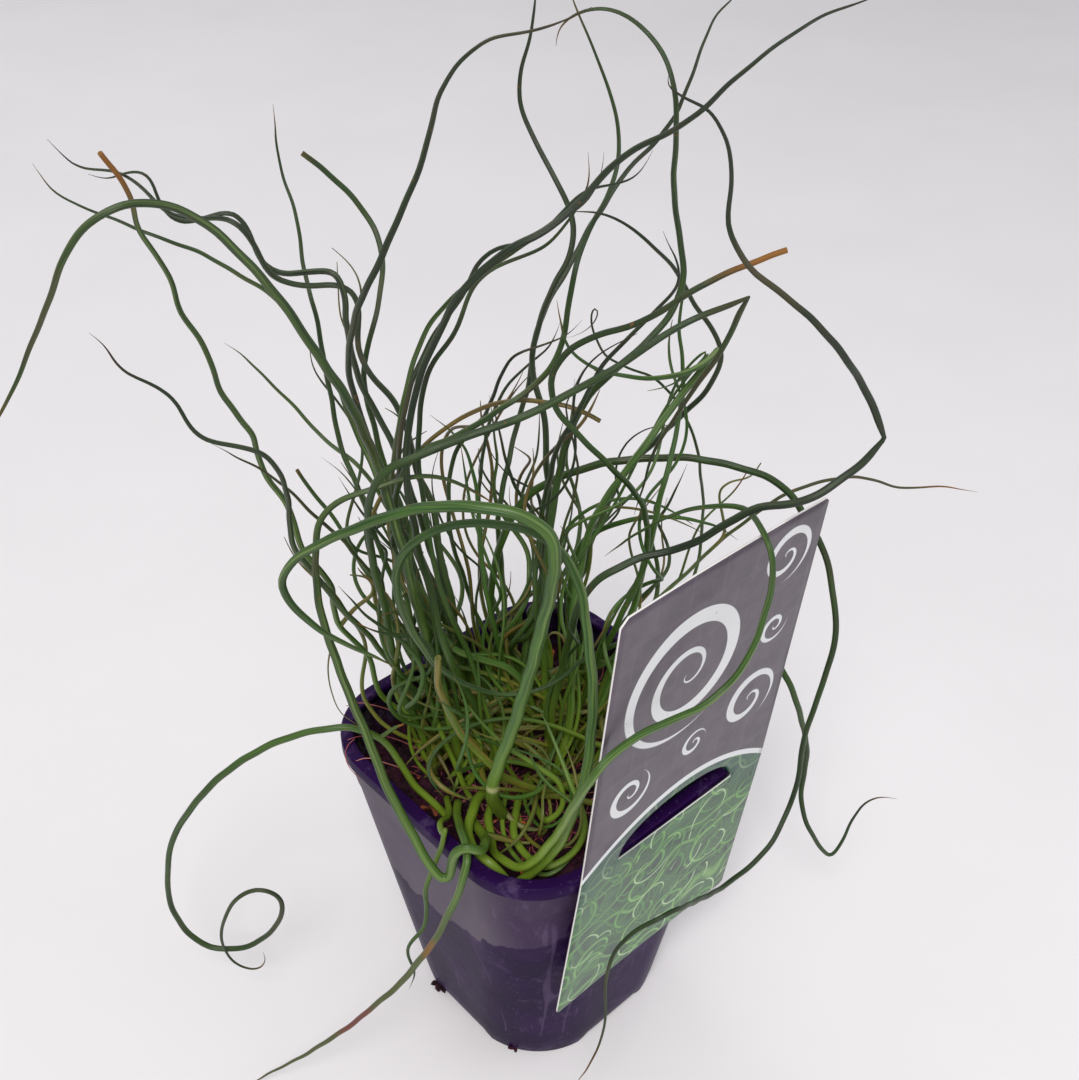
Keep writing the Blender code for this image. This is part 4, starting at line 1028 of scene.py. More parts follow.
# %% Grow the hairs
HAIR_TONE = 0.2
HAIR_TIP = 0.3                      # thickness of a hair's end over that of its start
DRY_FROM = {"stem_brown": 0.8}      # share of the length at which a hair turns dry; the others don't
NOT_DRY = 1.1
NOT_LIME = 0.0001                   # a hair has no lime-yellow foot
stem_points = [Vector(point) for line, _ in LINES.values() for point in line[::2]]
hairs = {}
furthest = 0.0
for slot, girth, route in HAIRS:
    carrier = min(stem_points, key=lambda point: math.dist(seen_place(point)[:2], route[0]))
    furthest = max(furthest, math.dist(seen_place(carrier)[:2], route[0]))
    behind = seen_place(carrier)[2]
    points = np.array([carrier] + [seen_at(px, py, behind) for px, py in route[1:]])
    line, thick = smooth_line(points, np.linspace(girth, girth * HAIR_TIP, len(points)) * MM, 1.0 * MM)
    own = (HAIR_TONE, DRY_FROM.get(slot, NOT_DRY), NOT_LIME)
    hairs.setdefault(slot, []).append((keep_inside(soften(line, 2), thick), thick, own))
for slot, strands in hairs.items():
    host = path_object("hair_lines", strands)
    mesh = run_tree(stem_tree, host, {"Material": STEM_FINISHES[slot], "Sides": 7, "Spacing": 0.8 * MM})
    hand_over(place_mesh(slot.replace("stem_", "hairs_"), mesh), slot)
print("furthest start from its stem, in picture points:", round(furthest, 1))

# %% [markdown]
# ## Sheaths
# A rush has no leaves but for brown sheaths that wrap the foot of each stem. Each is a thin open sleeve
# with one long and one short side, made with an inner and an outer skin so that it has a real edge.

# %% Mix the sheaths' finish
sheath_finish, make, place = start_finish("dry_sheaths", 0.3)
grain = make.noise(make.stretch(place, (1.0, 1.0, 0.14)), 1100.0, 3.0, 0.65)
clouds = make.noise(place, 90.0, 3.0)
colour = make.mix(make.band(clouds, 0.35, 0.65), screen(66, 40, 34), screen(112, 78, 50))
colour = make.mix(make.band(grain, 0.5, 0.7) * 0.6, colour, screen(150, 122, 80))
make.surface(colour, 0.45 + grain * 0.35, make.bump(grain, 0.1 * MM, 0.7))
print("sheath finish nodes:", len(sheath_finish.node_tree.nodes))

# %% Rows of one sleeve
SHEATH_SIDES = 14
SHEATH_ROWS = 7
SHEATH_THICK = 0.12 * MM


def sheath(line, girth, dice):
    """Rows of points of one sleeve: up the outside, over the edge and down the inside."""
    sides, ups = carried_frame(line)
    tall = dice.uniform(4.5, 9.5) * MM
    slant = dice.uniform(0.25, 0.6)
    turn = dice.uniform(0, ROUND)
    outside = []
    inside = []
    for row in np.linspace(0.0, 1.0, SHEATH_ROWS):
        outer = []
        inner = []
        for i in range(SHEATH_SIDES):
            angle = 2 * math.pi * i / SHEATH_SIDES
            top = tall * (1 - slant * (0.5 + 0.5 * math.cos(angle - turn)))
            at = row * top / STEP + ROOT_STEPS - 0.5
            k = int(at)
            centre = line[k] * (1 - at + k) + line[k + 1] * (at - k)
            out = sides[k] * math.cos(angle) + ups[k] * math.sin(angle)
            wide = girth * (1.07 + 0.08 * row + 0.05 * math.sin(3 * angle + turn) * row)
            outer.append(centre + out * wide)
            inner.append(centre + out * (wide - SHEATH_THICK))
        outside.append(outer)
        inside.append(inner)
    return outside + inside[::-1]


trial = sheath(LINES[STEM_NODES[0]][0], 1.2 * MM, random.Random(0))
print("a trial sleeve has", len(trial), "rows of", len(trial[0]), "points")

# %% Wrap the stem feet
UNWRAPPED = 0.35                    # share of the stems that have lost their sheath
FRONT_CORNER = -8 * MM              # stems that stand before this line, toward the camera, have none
dice = random.Random(11)
shape = bmesh.new()
for node in STEM_NODES:
    line, radii = LINES[node]
    if node in LIME_REACH or Vector(line[0]).dot(level) < FRONT_CORNER or dice.random() < UNWRAPPED:
        continue
    take_in(shape, skin("sleeve", sheath(line, radii[1], dice)))
sheath_mesh = mesh_of("sheaths", shape)
sheath_mesh.materials.append(sheath_finish)
hand_over(place_mesh("sheaths", sheath_mesh), "stem_brown")
print("sheath faces:", len(sheath_mesh.polygons))

# %% [markdown]
# ## The pot
# A nursery pot is blown or moulded from thin plastic: a rounded square that tapers down, a collar and a
# flat lip round the top, and low feet at the corners with drain channels between them. The solid has the
# same sizes with few facets. Here the same profile is skinned with many points to a ring, so that the
# gloss runs smoothly round the corners, and with small radii on every edge, because a sharp edge never
# catches the light.

# %% Pot sizes
RIM_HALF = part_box("pot")[1].x
POT_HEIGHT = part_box("pot")[1].z
RIM_CORNER = 22.0 * MM
BASE_HALF = 32.0 * MM
BASE_CORNER = 24.0 * MM
WALL = 1.2 * MM
COLLAR_Z = POT_HEIGHT - 4.5 * MM
COLLAR_STEP = 1.4 * MM
LIP_WIDTH = 3.6 * MM
LIP_HALF = RIM_HALF - LIP_WIDTH
LIP_CORNER = RIM_CORNER - LIP_WIDTH
BAND_Z = 86.0 * MM                  # lower end of the slightly prouder band under the collar
BAND_STEP = 0.25 * MM
FLOOR_Z = 1.4 * MM
CHANNEL = 2.0 * MM                  # depth of the drain channels between the feet
PAD_HALF = 16.0 * MM                # the middle of the floor, which stands on the table
PAD_CORNER = BASE_CORNER * PAD_HALF / BASE_HALF
EDGE = 0.6 * MM                     # radius of the edges
print("pot, in mm:", round(2 * RIM_HALF / MM, 1), "wide,", round(POT_HEIGHT / MM, 1), "high")

# %% Rings of the pot
ARC_STEPS = 22
SIDE_STEPS = 14
FOOT_HALF = 34.0                    # half of the angle that a foot spans round its corner, in degrees
FOOT_EASE = 6.0                     # the angle over which it rises to the channel


def square_ring(half, corner, z, lift=0.0):
    """A rounded square of points at a height; the straight sides may be lifted off the feet."""
    points = []
    for quarter in range(4):
        diagonal = math.radians(45 + 90 * quarter)
        centre = Vector((math.copysign(half - corner, math.cos(diagonal)),
                         math.copysign(half - corner, math.sin(diagonal)), z))
        for step in range(ARC_STEPS + 1):
            turn = math.radians(-45 + 90 * step / ARC_STEPS)
            raised = min(1.0, max(0.0, (abs(math.degrees(turn)) - FOOT_HALF) / FOOT_EASE))
            ease = raised * raised * (3 - 2 * raised)
            out = Vector((math.cos(diagonal + turn), math.sin(diagonal + turn), 0.0))
            points.append(centre + out * corner + Vector((0, 0, lift * ease)))
        arc_end = points[-1]
        along = Vector((-math.sin(diagonal + math.pi / 4), math.cos(diagonal + math.pi / 4), 0.0))
        for step in range(1, SIDE_STEPS):
            points.append(arc_end + along * (2 * (half - corner) * step / SIDE_STEPS))
    return points


def wall_ring(z, inset=0.0, lift=0.0):
    """A ring on the outer wall at a height, or inside it by the inset."""
    share = max(0.0, z / COLLAR_Z)
    half = BASE_HALF + (RIM_HALF - COLLAR_STEP - BASE_HALF) * share - inset
    corner = BASE_CORNER + (RIM_CORNER - COLLAR_STEP - BASE_CORNER) * share - inset
    return square_ring(half, corner, z, lift)


def edge_rings(half, corner, z, start, end, steps=4):
    """Rings round a rounded edge, from one angle of its section to another, in degrees."""
    rings = []
    for step in range(steps + 1):
        turn = math.radians(start + (end - start) * step / steps)
        grow = EDGE * math.cos(turn)
        rings.append(square_ring(half + grow, corner + grow, z + EDGE * math.sin(turn)))
    return rings


print("points in a ring:", len(wall_ring(COLLAR_Z)))

# %% Skin the pot
rings = [
    square_ring(PAD_HALF, PAD_CORNER, 0.0),
    square_ring(PAD_HALF + 0.4 * MM, PAD_CORNER, 0.15 * MM),
    square_ring(PAD_HALF + CHANNEL, PAD_CORNER + CHANNEL, 0.0, CHANNEL),
    square_ring(BASE_HALF - 1.4 * EDGE, BASE_CORNER - 1.4 * EDGE, 0.0, CHANNEL),
    square_ring(BASE_HALF - 0.35 * EDGE, BASE_CORNER - 0.35 * EDGE, 0.35 * EDGE, CHANNEL),
    square_ring(BASE_HALF, BASE_CORNER, 1.4 * EDGE, CHANNEL),
]
rings += [wall_ring(z) for z in np.linspace(5 * MM, BAND_Z - 0.8 * MM, 22)]
rings += [wall_ring(BAND_Z, -0.4 * BAND_STEP), wall_ring(BAND_Z + 0.5 * MM, -BAND_STEP),
          wall_ring(COLLAR_Z - 0.5 * MM, -BAND_STEP), wall_ring(COLLAR_Z - 0.15 * MM, -0.4 * MM)]
rings += edge_rings(RIM_HALF - EDGE, RIM_CORNER - EDGE, COLLAR_Z + EDGE, -80, 0)
rings += edge_rings(RIM_HALF - EDGE, RIM_CORNER - EDGE, POT_HEIGHT - EDGE, 0, 90)
rings += edge_rings(LIP_HALF + EDGE, LIP_CORNER + EDGE, POT_HEIGHT - EDGE, 90, 180)
rings += [square_ring(LIP_HALF, LIP_CORNER, POT_HEIGHT - 1.7 * MM),
          square_ring(LIP_HALF + 0.15 * MM, LIP_CORNER, POT_HEIGHT - 2.0 * MM)]
rings += [wall_ring(z, WALL) for z in np.linspace(POT_HEIGHT - 2.6 * MM, FLOOR_Z + 1.5 * MM, 9)]
rings += [wall_ring(FLOOR_Z, WALL + 0.4 * MM, CHANNEL),
          square_ring(PAD_HALF + CHANNEL, PAD_CORNER + CHANNEL, FLOOR_Z, CHANNEL),
          square_ring(PAD_HALF, PAD_CORNER, FLOOR_Z)]
pot = place_mesh("pot_shell", skin("pot_shell", rings))
print("pot faces before the holes:", len(pot.data.polygons))

# %% Cut its drain holes
HOLE_RADIUS = 1.9 * MM
HOLE_REACH = 24 * MM                # from the axis
PIN_HEIGHT = 8 * MM
PIN_MIDDLE = 2 * MM
pins = bmesh.new()
for quarter in range(4):
    pin = bmesh.ops.create_cone(pins, cap_ends=True, segments=24, radius1=HOLE_RADIUS,
                                radius2=HOLE_RADIUS, depth=PIN_HEIGHT)
    turn = quarter * math.pi / 2
    place = Vector((HOLE_REACH * math.cos(turn), HOLE_REACH * math.sin(turn), PIN_MIDDLE))
    bmesh.ops.translate(pins, verts=pin["verts"], vec=place)
pin_object = place_mesh("drain_pins", mesh_of("drain_pins", pins))
cut = pot.modifiers.new("drain_holes", "BOOLEAN")
cut.object = pin_object
apply_modifiers(pot)
bpy.data.objects.remove(pin_object, do_unlink=True)
print("pot faces:", len(pot.data.polygons))

# %% [markdown]
# ## The pot's finish
# The plastic is a very dark indigo with a soft gloss. Over it lies a painted sheen, reflected light drawn in
# its colour high on the left wall and round the front corner, with a ragged lower edge. In use the pot
# gathers fine mineral runs, a faint veil and specks, peat dust on the wall inside and pale dust at its
# foot. Those marks are what makes it read as a nursery pot rather than a clean shell.

# %% Start the plastic
INDIGO = screen(46, 21, 68)
INDIGO_DEEP = screen(31, 10, 49)
INDIGO_LIP = screen(42, 20, 64)
PAINTED_SHEEN = screen(70, 56, 80)           # painted sheen: reflected light laid on the wall as colour
PAINTED_SHEEN_PALE = screen(106, 98, 109)    # the same, on the left wall away from the front corner
MINERAL = screen(122, 104, 138)
PEAT_DUST = screen(56, 34, 32)
plastic, make, place = start_finish("indigo_plastic", 0.27, bending=1.18)
x, y, z = make.parts(place)
clouds = make.noise(place, 38.0, 4.0)
fine = make.noise(place, 260.0, 4.0, 0.65)
print("nodes before the marks:", len(plastic.node_tree.nodes))

# %% The painted sheen: reflected light high on the left wall and round the front corner, in patches elsewhere
SHEEN_LOW = 56 * MM                  # its lower edge, which rises toward the label's side
SHEEN_TOP = 95.2 * MM                # it ends under the collar
SHEEN_SIDE = -27.2 * MM              # it covers the wall up to this x
SHEEN_RISE = 0.4                     # how fast its lower edge rises, and from how far in front
RISE_FROM = 3 * MM
SHEEN_FEATHER = 0.6 * MM             # over this way it fades out at its lower edge
ragged = make.noise(make.stretch(place, (240.0, 240.0, 45.0)), 1.0, 4.0, 0.6) - 0.5
ragged = ragged * 0.006 + (make.noise(place, 60.0, 3.0) - 0.5) * 0.012
rising = make.largest(0.0 - y - RISE_FROM, 0.0) * SHEEN_RISE
sheen_edge = ragged + SHEEN_LOW + rising
far_edge = (make.noise(place, 120.0, 4.0, 0.65) - 0.46) * make.band(y, 0.0, 0.01) * 0.06
left_side = make.fade(x + ragged * 0.3 + far_edge, SHEEN_SIDE, SHEEN_SIDE + 1 * MM)
patches = make.band(make.noise(place, 21.0, 2.0), 0.5, 0.53)
# the painted sheen: where the wall is drawn paler, as if it caught reflected light
painted_sheen = make.largest(left_side, patches * 0.75)
painted_sheen = painted_sheen * make.band(z, sheen_edge, sheen_edge + SHEEN_FEATHER)
painted_sheen = painted_sheen * make.fade(z, SHEEN_TOP, SHEEN_TOP + 0.5 * MM)
painted_sheen = painted_sheen * (0.72 + make.band(clouds, 0.35, 0.7) * 0.2)
print("film from", round(SHEEN_LOW / MM, 1), "to", round(SHEEN_TOP / MM, 1), "mm")

# %% Thin water lines, mineral runs, a faint veil and specks
creep = make.noise(make.stretch(place, (60.0, 60.0, 7.0)), 1.0, 1.0, 0.5, 0.2)
lines = make.fade(abs(creep - 0.5), 0.002, 0.01)
lines = lines * make.band(make.noise(place, 50.0, 2.0), 0.53, 0.6) * make.fade(z, 85 * MM, 90 * MM)
runs = make.noise(make.stretch(place, (420.0, 420.0, 16.0)), 1.0, 3.0, 0.6)
runs = make.band(runs, 0.57, 0.72) * make.band(clouds, 0.42, 0.62) * make.fade(z, 90 * MM, 96 * MM)
veil = make.band(make.noise(place, 95.0, 5.0, 0.72, 0.5), 0.52, 0.7)
speck = make.band(make.noise(place, 800.0, 1.0), 0.68, 0.74)
marks = make.largest(lines * 0.28, runs * 0.4, veil * 0.25, speck * 0.2)
print("nodes up to the marks:", len(plastic.node_tree.nodes))

# %% Peat dust on the wall inside, and pale dust at the foot
MOUTH_SIDE = 22.1 * MM              # where the mouth's rounded corners begin
MOUTH_CORNER = 20.3 * MM            # their radius
past_x = make.largest(abs(x) - MOUTH_SIDE, 0.0)
past_y = make.largest(abs(y) - MOUTH_SIDE, 0.0)
from_wall = MOUTH_CORNER - make.maths("SQRT", past_x * past_x + past_y * past_y)
inside = make.band(from_wall, 0.0, 0.4 * MM) * make.band(z, 84 * MM, 88 * MM)
dust = make.fade(z, 91 * MM, 95.5 * MM) * make.band(fine, 0.42, 0.6) * inside
foot_dust = make.fade(z, 0.5 * MM, 9 * MM) * make.band(fine, 0.45, 0.7)
print("mouth's half width, in mm:", round((MOUTH_SIDE + MOUTH_CORNER) / MM, 1))

# %% Lay the marks on the plastic
LIP_FROM = 96.5 * MM                # the lip's own tone begins here
colour = make.mix(make.band(clouds, 0.3, 0.75), INDIGO_DEEP, INDIGO)
colour = make.mix(make.band(z, LIP_FROM, LIP_FROM + 2 * MM), colour, INDIGO_LIP)
# the painted sheen is paler on the left wall; it is laid over the plastic's own colour
sheen_colour = make.mix(left_side * make.band(y, -34 * MM, -19 * MM), PAINTED_SHEEN, PAINTED_SHEEN_PALE)
colour = make.mix(painted_sheen, colour, sheen_colour)
colour = make.mix(marks, colour, MINERAL)
colour = make.mix(dust * 0.8, colour, PEAT_DUST)
colour = make.mix(foot_dust * 0.3, colour, MINERAL)
wavy = make.bump(clouds, 0.5 * MM, 0.3)
make.surface(colour, 0.3 + painted_sheen * 0.12 + marks * 0.3 + dust * 0.4 + fine * 0.1,
             make.bump(fine, 0.03 * MM, 0.5, wavy))
pot.data.materials.clear()
pot.data.materials.append(plastic)
hand_over(pot, "pot_plastic", "pot")
print("plastic's nodes:", len(plastic.node_tree.nodes))

# %% [markdown]
# ## The peat
# Potting peat is a dark, crumbly, fibrous soil. One mesh makes its body, with an uneven top from layered
# noise. On it lie crumbs of many sizes, reddish rootlets and bits of bark and dry leaf, all scattered by
# one Geometry Nodes tree, so that their number and seed can be changed in one place.

# %% Shape the body of the peat
SOIL_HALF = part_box("soil")[1].x
SOIL_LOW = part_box("soil")[0].z
SOIL_CORNER = 21.0 * MM
SOIL_RINGS = 56
SOIL_MEAN = SOIL_TOP - 0.7 * MM     # mean height of the uneven top
SETTLED = 2.0 * MM                  # how far the peat has settled at the wall
SETTLED_FROM = 0.86                 # share of the half width where that begins
SETTLED_OVER = 0.14                 # and the share over which it goes on
RELIEF = ((1.1, 95, (0, 0, 0)), (0.8, 240, (3, 1, 2)), (0.45, 610, (0, 0, 0)))   # height in mm, scale, shift


def relief(x, y):
    """Height of the peat's top over its mean level."""
    spot = Vector((x, y, 0.0))
    return sum(height * noise.noise(spot * scale + Vector(shift)) for height, scale, shift in RELIEF) * MM


def soil_ring(share, z=None):
    """A ring of the peat's top at a share of its half width, or of its side at a height."""
    points = []
    for point in square_ring(SOIL_HALF * share, SOIL_CORNER * share, 0.0):
        drop = SETTLED * max(0.0, (share - SETTLED_FROM) / SETTLED_OVER)
        top = SOIL_MEAN - drop + relief(point.x, point.y)
        points.append((point.x, point.y, top if z is None else z))
    return points


foot = soil_ring(0.98, SOIL_LOW + 1 * MM)
rings = [[(x * 0.72, y * 0.72, z) for x, y, z in foot], [(x * 0.9, y * 0.9, 60 * MM) for x, y, z in foot]]
rings += [soil_ring(share) for share in np.linspace(1.0, 0.012, SOIL_RINGS)]
soil = place_mesh("peat_body", skin("peat_body", rings))
print("peat faces:", len(soil.data.polygons))

# %% Mix the peat finish
PEAT = screen(62, 25, 42)
PEAT_DARK = screen(22, 7, 20)
PEAT_RED = screen(134, 56, 66)
FIBRE = screen(140, 92, 78)
peat, make, place = start_finish("peat", 0.25)
coarse = make.noise(place, 170.0, 5.0, 0.65)
fine = make.noise(place, 800.0, 4.0, 0.7)
fibres = make.noise(make.stretch(place, (1.0, 0.16, 0.5)), 1500.0, 2.0, 0.6, 1.5)
damp = make.noise(place, 42.0, 2.0)
colour = make.mix(make.band(coarse, 0.34, 0.66), PEAT_DARK, PEAT)
colour = make.mix(make.band(fine, 0.55, 0.78) * 0.7, colour, PEAT_RED)
colour = make.mix(make.band(fibres, 0.66, 0.74) * 0.6, colour, FIBRE)
make.surface(colour, 0.62 + make.band(damp, 0.35, 0.65) * 0.33, make.bump(coarse + fine * 0.5, 1.4 * MM))
soil.data.materials.append(peat)
hand_over(soil, "peat", "soil")
print("peat finish nodes:", len(peat.node_tree.nodes))

# %% Build the scatter tree
CORNER_CUT = 0.62                   # keeps the litter out of the pot's rounded corners
scatter_tree, make, given = start_tree("scatter_on_a_surface", {
    "Geometry": ("Geometry", None),
    "Piece": ("Object", None),
    "Density": ("Float", 100000.0),
    "Margin": ("Float", 0.0405),
    "Smallest": ("Float", 0.4),
    "Largest": ("Float", 1.0),
    "Tilt": ("Float", 3.14),
    "Lift": ("Float", 0.0),
    "Seed": ("Int", 1),
    "Material": ("Material", None)})
facing = make.parts(make.node("GeometryNodeInputNormal")["Normal"])[2]
east, north, height = make.parts(make.node("GeometryNodeInputPosition")["Position"])
corner = (abs(east) + abs(north)) * CORNER_CUT
within = make.maths("LESS_THAN", make.largest(abs(east), abs(north), corner), given["Margin"])
upper = make.band(facing, 0.2, 0.4) * make.band(height, SOIL_TOP - 8 * MM, SOIL_TOP - 7 * MM) * within
spots = make.node("GeometryNodeDistributePointsOnFaces", None, {
    "Mesh": given["Geometry"], "Density": given["Density"] * upper, "Seed": given["Seed"]})
raised = make.node("GeometryNodeSetPosition", None, {
    "Geometry": spots["Points"], "Offset": make.point(0.0, 0.0, given["Lift"])})["Geometry"]
turned = make.node("FunctionNodeRandomValue", {"data_type": "FLOAT_VECTOR"}, {
    "Min": (0.0, 0.0, 0.0), "Max": make.point(given["Tilt"], given["Tilt"], ROUND), "Seed": given["Seed"]})
sized = make.node("FunctionNodeRandomValue", {"data_type": "FLOAT"}, {
    "Min_001": given["Smallest"], "Max_001": given["Largest"], "Seed": given["Seed"]})
shape = make.node("GeometryNodeObjectInfo", None, {"Object": given["Piece"]})["Geometry"]
spread = make.node("GeometryNodeInstanceOnPoints", None, {
    "Points": raised, "Instance": shape, "Rotation": turned["Value"], "Scale": sized["Value_001"]})
end_tree(make, spread["Instances"], given["Material"])
print("scatter tree nodes:", len(scatter_tree.nodes))

# %% Shapes of a crumb, a rootlet and a bark bit
ROOTLET_STEPS = 12


def crumb_mesh(seed, long):
    """A small broken lump."""
    dice = random.Random(seed)
    shape = bmesh.new()
    bmesh.ops.create_icosphere(shape, subdivisions=1, radius=1.0 * MM)
    for corner in shape.verts:
        corner.co *= dice.uniform(0.55, 1.15)
        corner.co.x *= long
        corner.co.z *= 0.7
    return mesh_of("crumb", shape)


def rootlet_mesh(seed, length, bend):
    """A fine wandering thread, lying down, with its ends a little up or down."""
    dice = random.Random(seed)
    heading = 0.0
    point = np.zeros(3)
    line = [point.copy()]
    turn = dice.uniform(-bend, bend)
    for _ in range(ROOTLET_STEPS):
        turn += dice.uniform(-bend, bend) * 0.5
        heading += turn
        rise = dice.uniform(-0.25, 0.28)
        point = point + np.array((math.cos(heading), math.sin(heading), rise)) * length / ROOTLET_STEPS
        line.append(point.copy())
    smooth, thick = smooth_line(np.array(line), np.linspace(0.22, 0.08, len(line)) * MM, length / 18)
    host = path_object("rootlet_line", [(smooth, thick, (0.0, 1.0, 0.0))])
    return run_tree(stem_tree, host, {"Sides": 5, "Spacing": length / 22, "Knobbliness": 0.5})


def scatter(name, piece_mesh, finish, **inputs):
    """Scatter one small mesh over the peat and return the plain result."""
    piece = place_mesh("scattered", piece_mesh)
    host = place_mesh("scatter_host", soil.data.copy())
    mesh = run_tree(scatter_tree, host, {"Piece": piece, "Material": finish, **inputs})
    bpy.data.objects.remove(piece, do_unlink=True)
    return place_mesh(name, mesh)


# %% Finishes for the litter
rootlet_finish, make, place = start_finish("rootlets", 0.35)
tint = make.noise(place, 120.0, 2.0)
colour = make.mix(make.band(tint, 0.35, 0.65), screen(140, 64, 70), screen(188, 122, 114))
make.surface(colour, 0.5 + tint * 0.3, make.bump(make.noise(place, 2400.0, 2.0), 0.05 * MM, 0.6))

litter_finish, make, place = start_finish("bark_and_leaf_bits", 0.3)
tint = make.noise(place, 150.0, 2.0)
grain = make.noise(make.stretch(place, (1.0, 0.2, 1.0)), 1400.0, 3.0, 0.7)
colour = make.mix(make.band(tint, 0.4, 0.6), screen(96, 52, 34), screen(188, 96, 52))
colour = make.mix(make.band(grain, 0.5, 0.7) * 0.6, colour, screen(60, 34, 26))
make.surface(colour, 0.6 + grain * 0.3, make.bump(grain, 0.2 * MM, 0.7))
print("litter finishes:", rootlet_finish.name, litter_finish.name)

# %% Scatter crumbs, rootlets and bark bits
CRUMBS = (      # seed, number to a square metre, smallest and largest radius in mm
    (1, 330000.0, 0.25, 0.6),
    (2, 120000.0, 0.5, 1.1),
    (3, 22000.0, 1.0, 1.9))
ROOTLETS = (    # seed, number to a square metre, length in mm, how near to the wall they start in mm
    (4, 26000.0, 11, 31),
    (5, 22000.0, 14, 29),
    (6, 16000.0, 17, 27))
ROOTLET_BEND = 0.11
litter = []
for seed, density, small, large in CRUMBS:
    litter.append(scatter(f"peat_crumbs_{seed}", crumb_mesh(seed, 1.0 + 0.2 * seed), peat, Density=density,
                          Smallest=small, Largest=large, Seed=seed))
for seed, density, length, margin in ROOTLETS:
    litter.append(scatter(f"rootlets_{seed}", rootlet_mesh(seed, length * MM, ROOTLET_BEND), rootlet_finish,
                          Density=density, Margin=margin * MM, Smallest=0.5, Largest=1.1, Tilt=0.35,
                          Lift=1.0 * MM, Seed=seed))
litter.append(scatter("bark_bits", crumb_mesh(9, 2.4), litter_finish, Density=7000.0, Margin=37 * MM,
                      Smallest=0.5, Largest=1.2, Tilt=0.5, Lift=0.5 * MM, Seed=9))
for piece in litter:
    hand_over(piece, "peat")
    reach = max(abs(part) for corner in piece.bound_box for part in corner[:2])
    print(piece.name, "faces:", len(piece.data.polygons), "reach in mm:", round(reach / MM, 1))

# %% Lay a few roots over the lip
LIP_ROOTS = (   # radius at the start and places on the way, in mm
    (0.26, ((-20.0, 37.0, 89.5), (-22.0, 37.8, 93.5), (-27.5, 39.2, 98.6), (-31.5, 41.6, 100.45),
            (-34.0, 42.5, 100.1))),
    (0.24, ((-23.0, 22.5, 89.5), (-26.0, 25.5, 92.5), (-31.5, 29.6, 96.5), (-39.4, 30.9, 100.4),
            (-41.5, 31.5, 100.3))),
    (0.26, ((-29.5, 16.0, 89.5), (-33.0, 17.5, 93.6), (-38.0, 20.0, 98.0), (-42.0, 23.0, 100.5),
            (-44.6, 24.2, 99.8))),
    (0.20, ((-40.0, 30.5, 100.3), (-43.2, 29.5, 100.6), (-45.0, 28.0, 98.4), (-45.2, 25.6, 95.9),
            (-44.2, 22.6, 93.8))))
strands = []
for girth, route in LIP_ROOTS:
    radii = np.linspace(girth, girth * 0.5, len(route)) * MM
    line, thick = smooth_line(np.array(route) * MM, radii, 1.0 * MM)
    strands.append((soften(line, 2), thick, (0.0, 1.0, 0.0)))
host = path_object("lip_root_lines", strands)
lip_roots = place_mesh("lip_roots", run_tree(stem_tree, host, {
    "Material": rootlet_finish, "Sides": 6, "Spacing": 0.8 * MM, "Knobbliness": 0.4}))
hand_over(lip_roots, "peat")
print("lip root faces:", len(lip_roots.data.polygons))

# %% Leave a little peat in the drain channels
SPILLED = (     # places on the table and sizes in mm; a lump's middle lies as high as its size
    (-31.4, 11.2, 1.5), (-32.4, 12.8, 1.1), (-31.7, 9.2, 1.2), (-32.8, 10.6, 0.9), (-29.4, -19.6, 0.8),
    (-28.8, -20.9, 0.6))
FIRST_SEED = 20
shape = bmesh.new()
for k, (x, y, size) in enumerate(SPILLED):
    lump = crumb_mesh(FIRST_SEED + k, 1.5)
    place = Matrix.Translation(Vector((x, y, size)) * MM)
    lump.transform(place @ Matrix.Rotation(k * 2.1, 4, "Z") @ Matrix.Scale(size, 4))
    take_in(shape, lump)
spill_mesh = mesh_of("spilled_peat", shape)
spill_mesh.materials.append(peat)
hand_over(place_mesh("spilled_peat", spill_mesh), "peat")
print("spilled crumbs:", len(SPILLED))

# %% [markdown]
# ## The label
# The label is a printed card that hooks over the lip through a slot; its tongue folds in behind. A flat
# card could be a few quads, but a fine triangulation lets it bend a little, as card does, and gives clean
# round edges to the slot. The outline and the slot are drawn flat, filled with triangles, bent into
# place, and given their thickness last.

# %% Label sizes
LABEL_HALF = 33.5 * MM
LABEL_ABOVE = 88.0 * MM             # from the slot's foot to the upper edge
LABEL_BELOW = 59.0 * MM             # and to the lower one
LABEL_X = 4.6 * MM                  # where the middle of the slot's foot lies
LABEL_Y = -46.2 * MM
LABEL_Z = 99.7 * MM
LABEL_LEAN = 0.083                  # the upper part leans out, the lower part in, and all of it is turned
LABEL_TUCK = 0.112
LABEL_TURN = 0.023
LABEL_BOW = 0.5 * MM
BOW_FROM = 60 * MM                  # the bow is full this far above and below the slot's foot
LABEL_THICK = 0.5 * MM
SLOT_HALF = 21.0 * MM
SLOT_HEIGHT = 11.0 * MM
SLOT_FULLNESS = 0.8
TONGUE_Y = -40.3 * MM
TONGUE_TOP = 101.6 * MM
TONGUE_END = 94.5 * MM


def label_point(across, up):
    """Where a point of the flat label lies, with the card bowed a little across its width."""
    turned_u = across * math.cos(LABEL_TURN) + up * math.sin(LABEL_TURN)
    turned_v = up * math.cos(LABEL_TURN) - across * math.sin(LABEL_TURN)
    tilt = LABEL_LEAN if turned_v > 0 else LABEL_TUCK
    bow = LABEL_BOW * (1 - (across / LABEL_HALF) ** 2) * min(1.0, abs(up) / BOW_FROM)
    y = LABEL_Y - turned_v * math.sin(tilt) + bow
    return Vector((LABEL_X + turned_u, y, LABEL_Z + turned_v * math.cos(tilt)))


print("label's height in mm:", round((LABEL_ABOVE + LABEL_BELOW) / MM, 1))

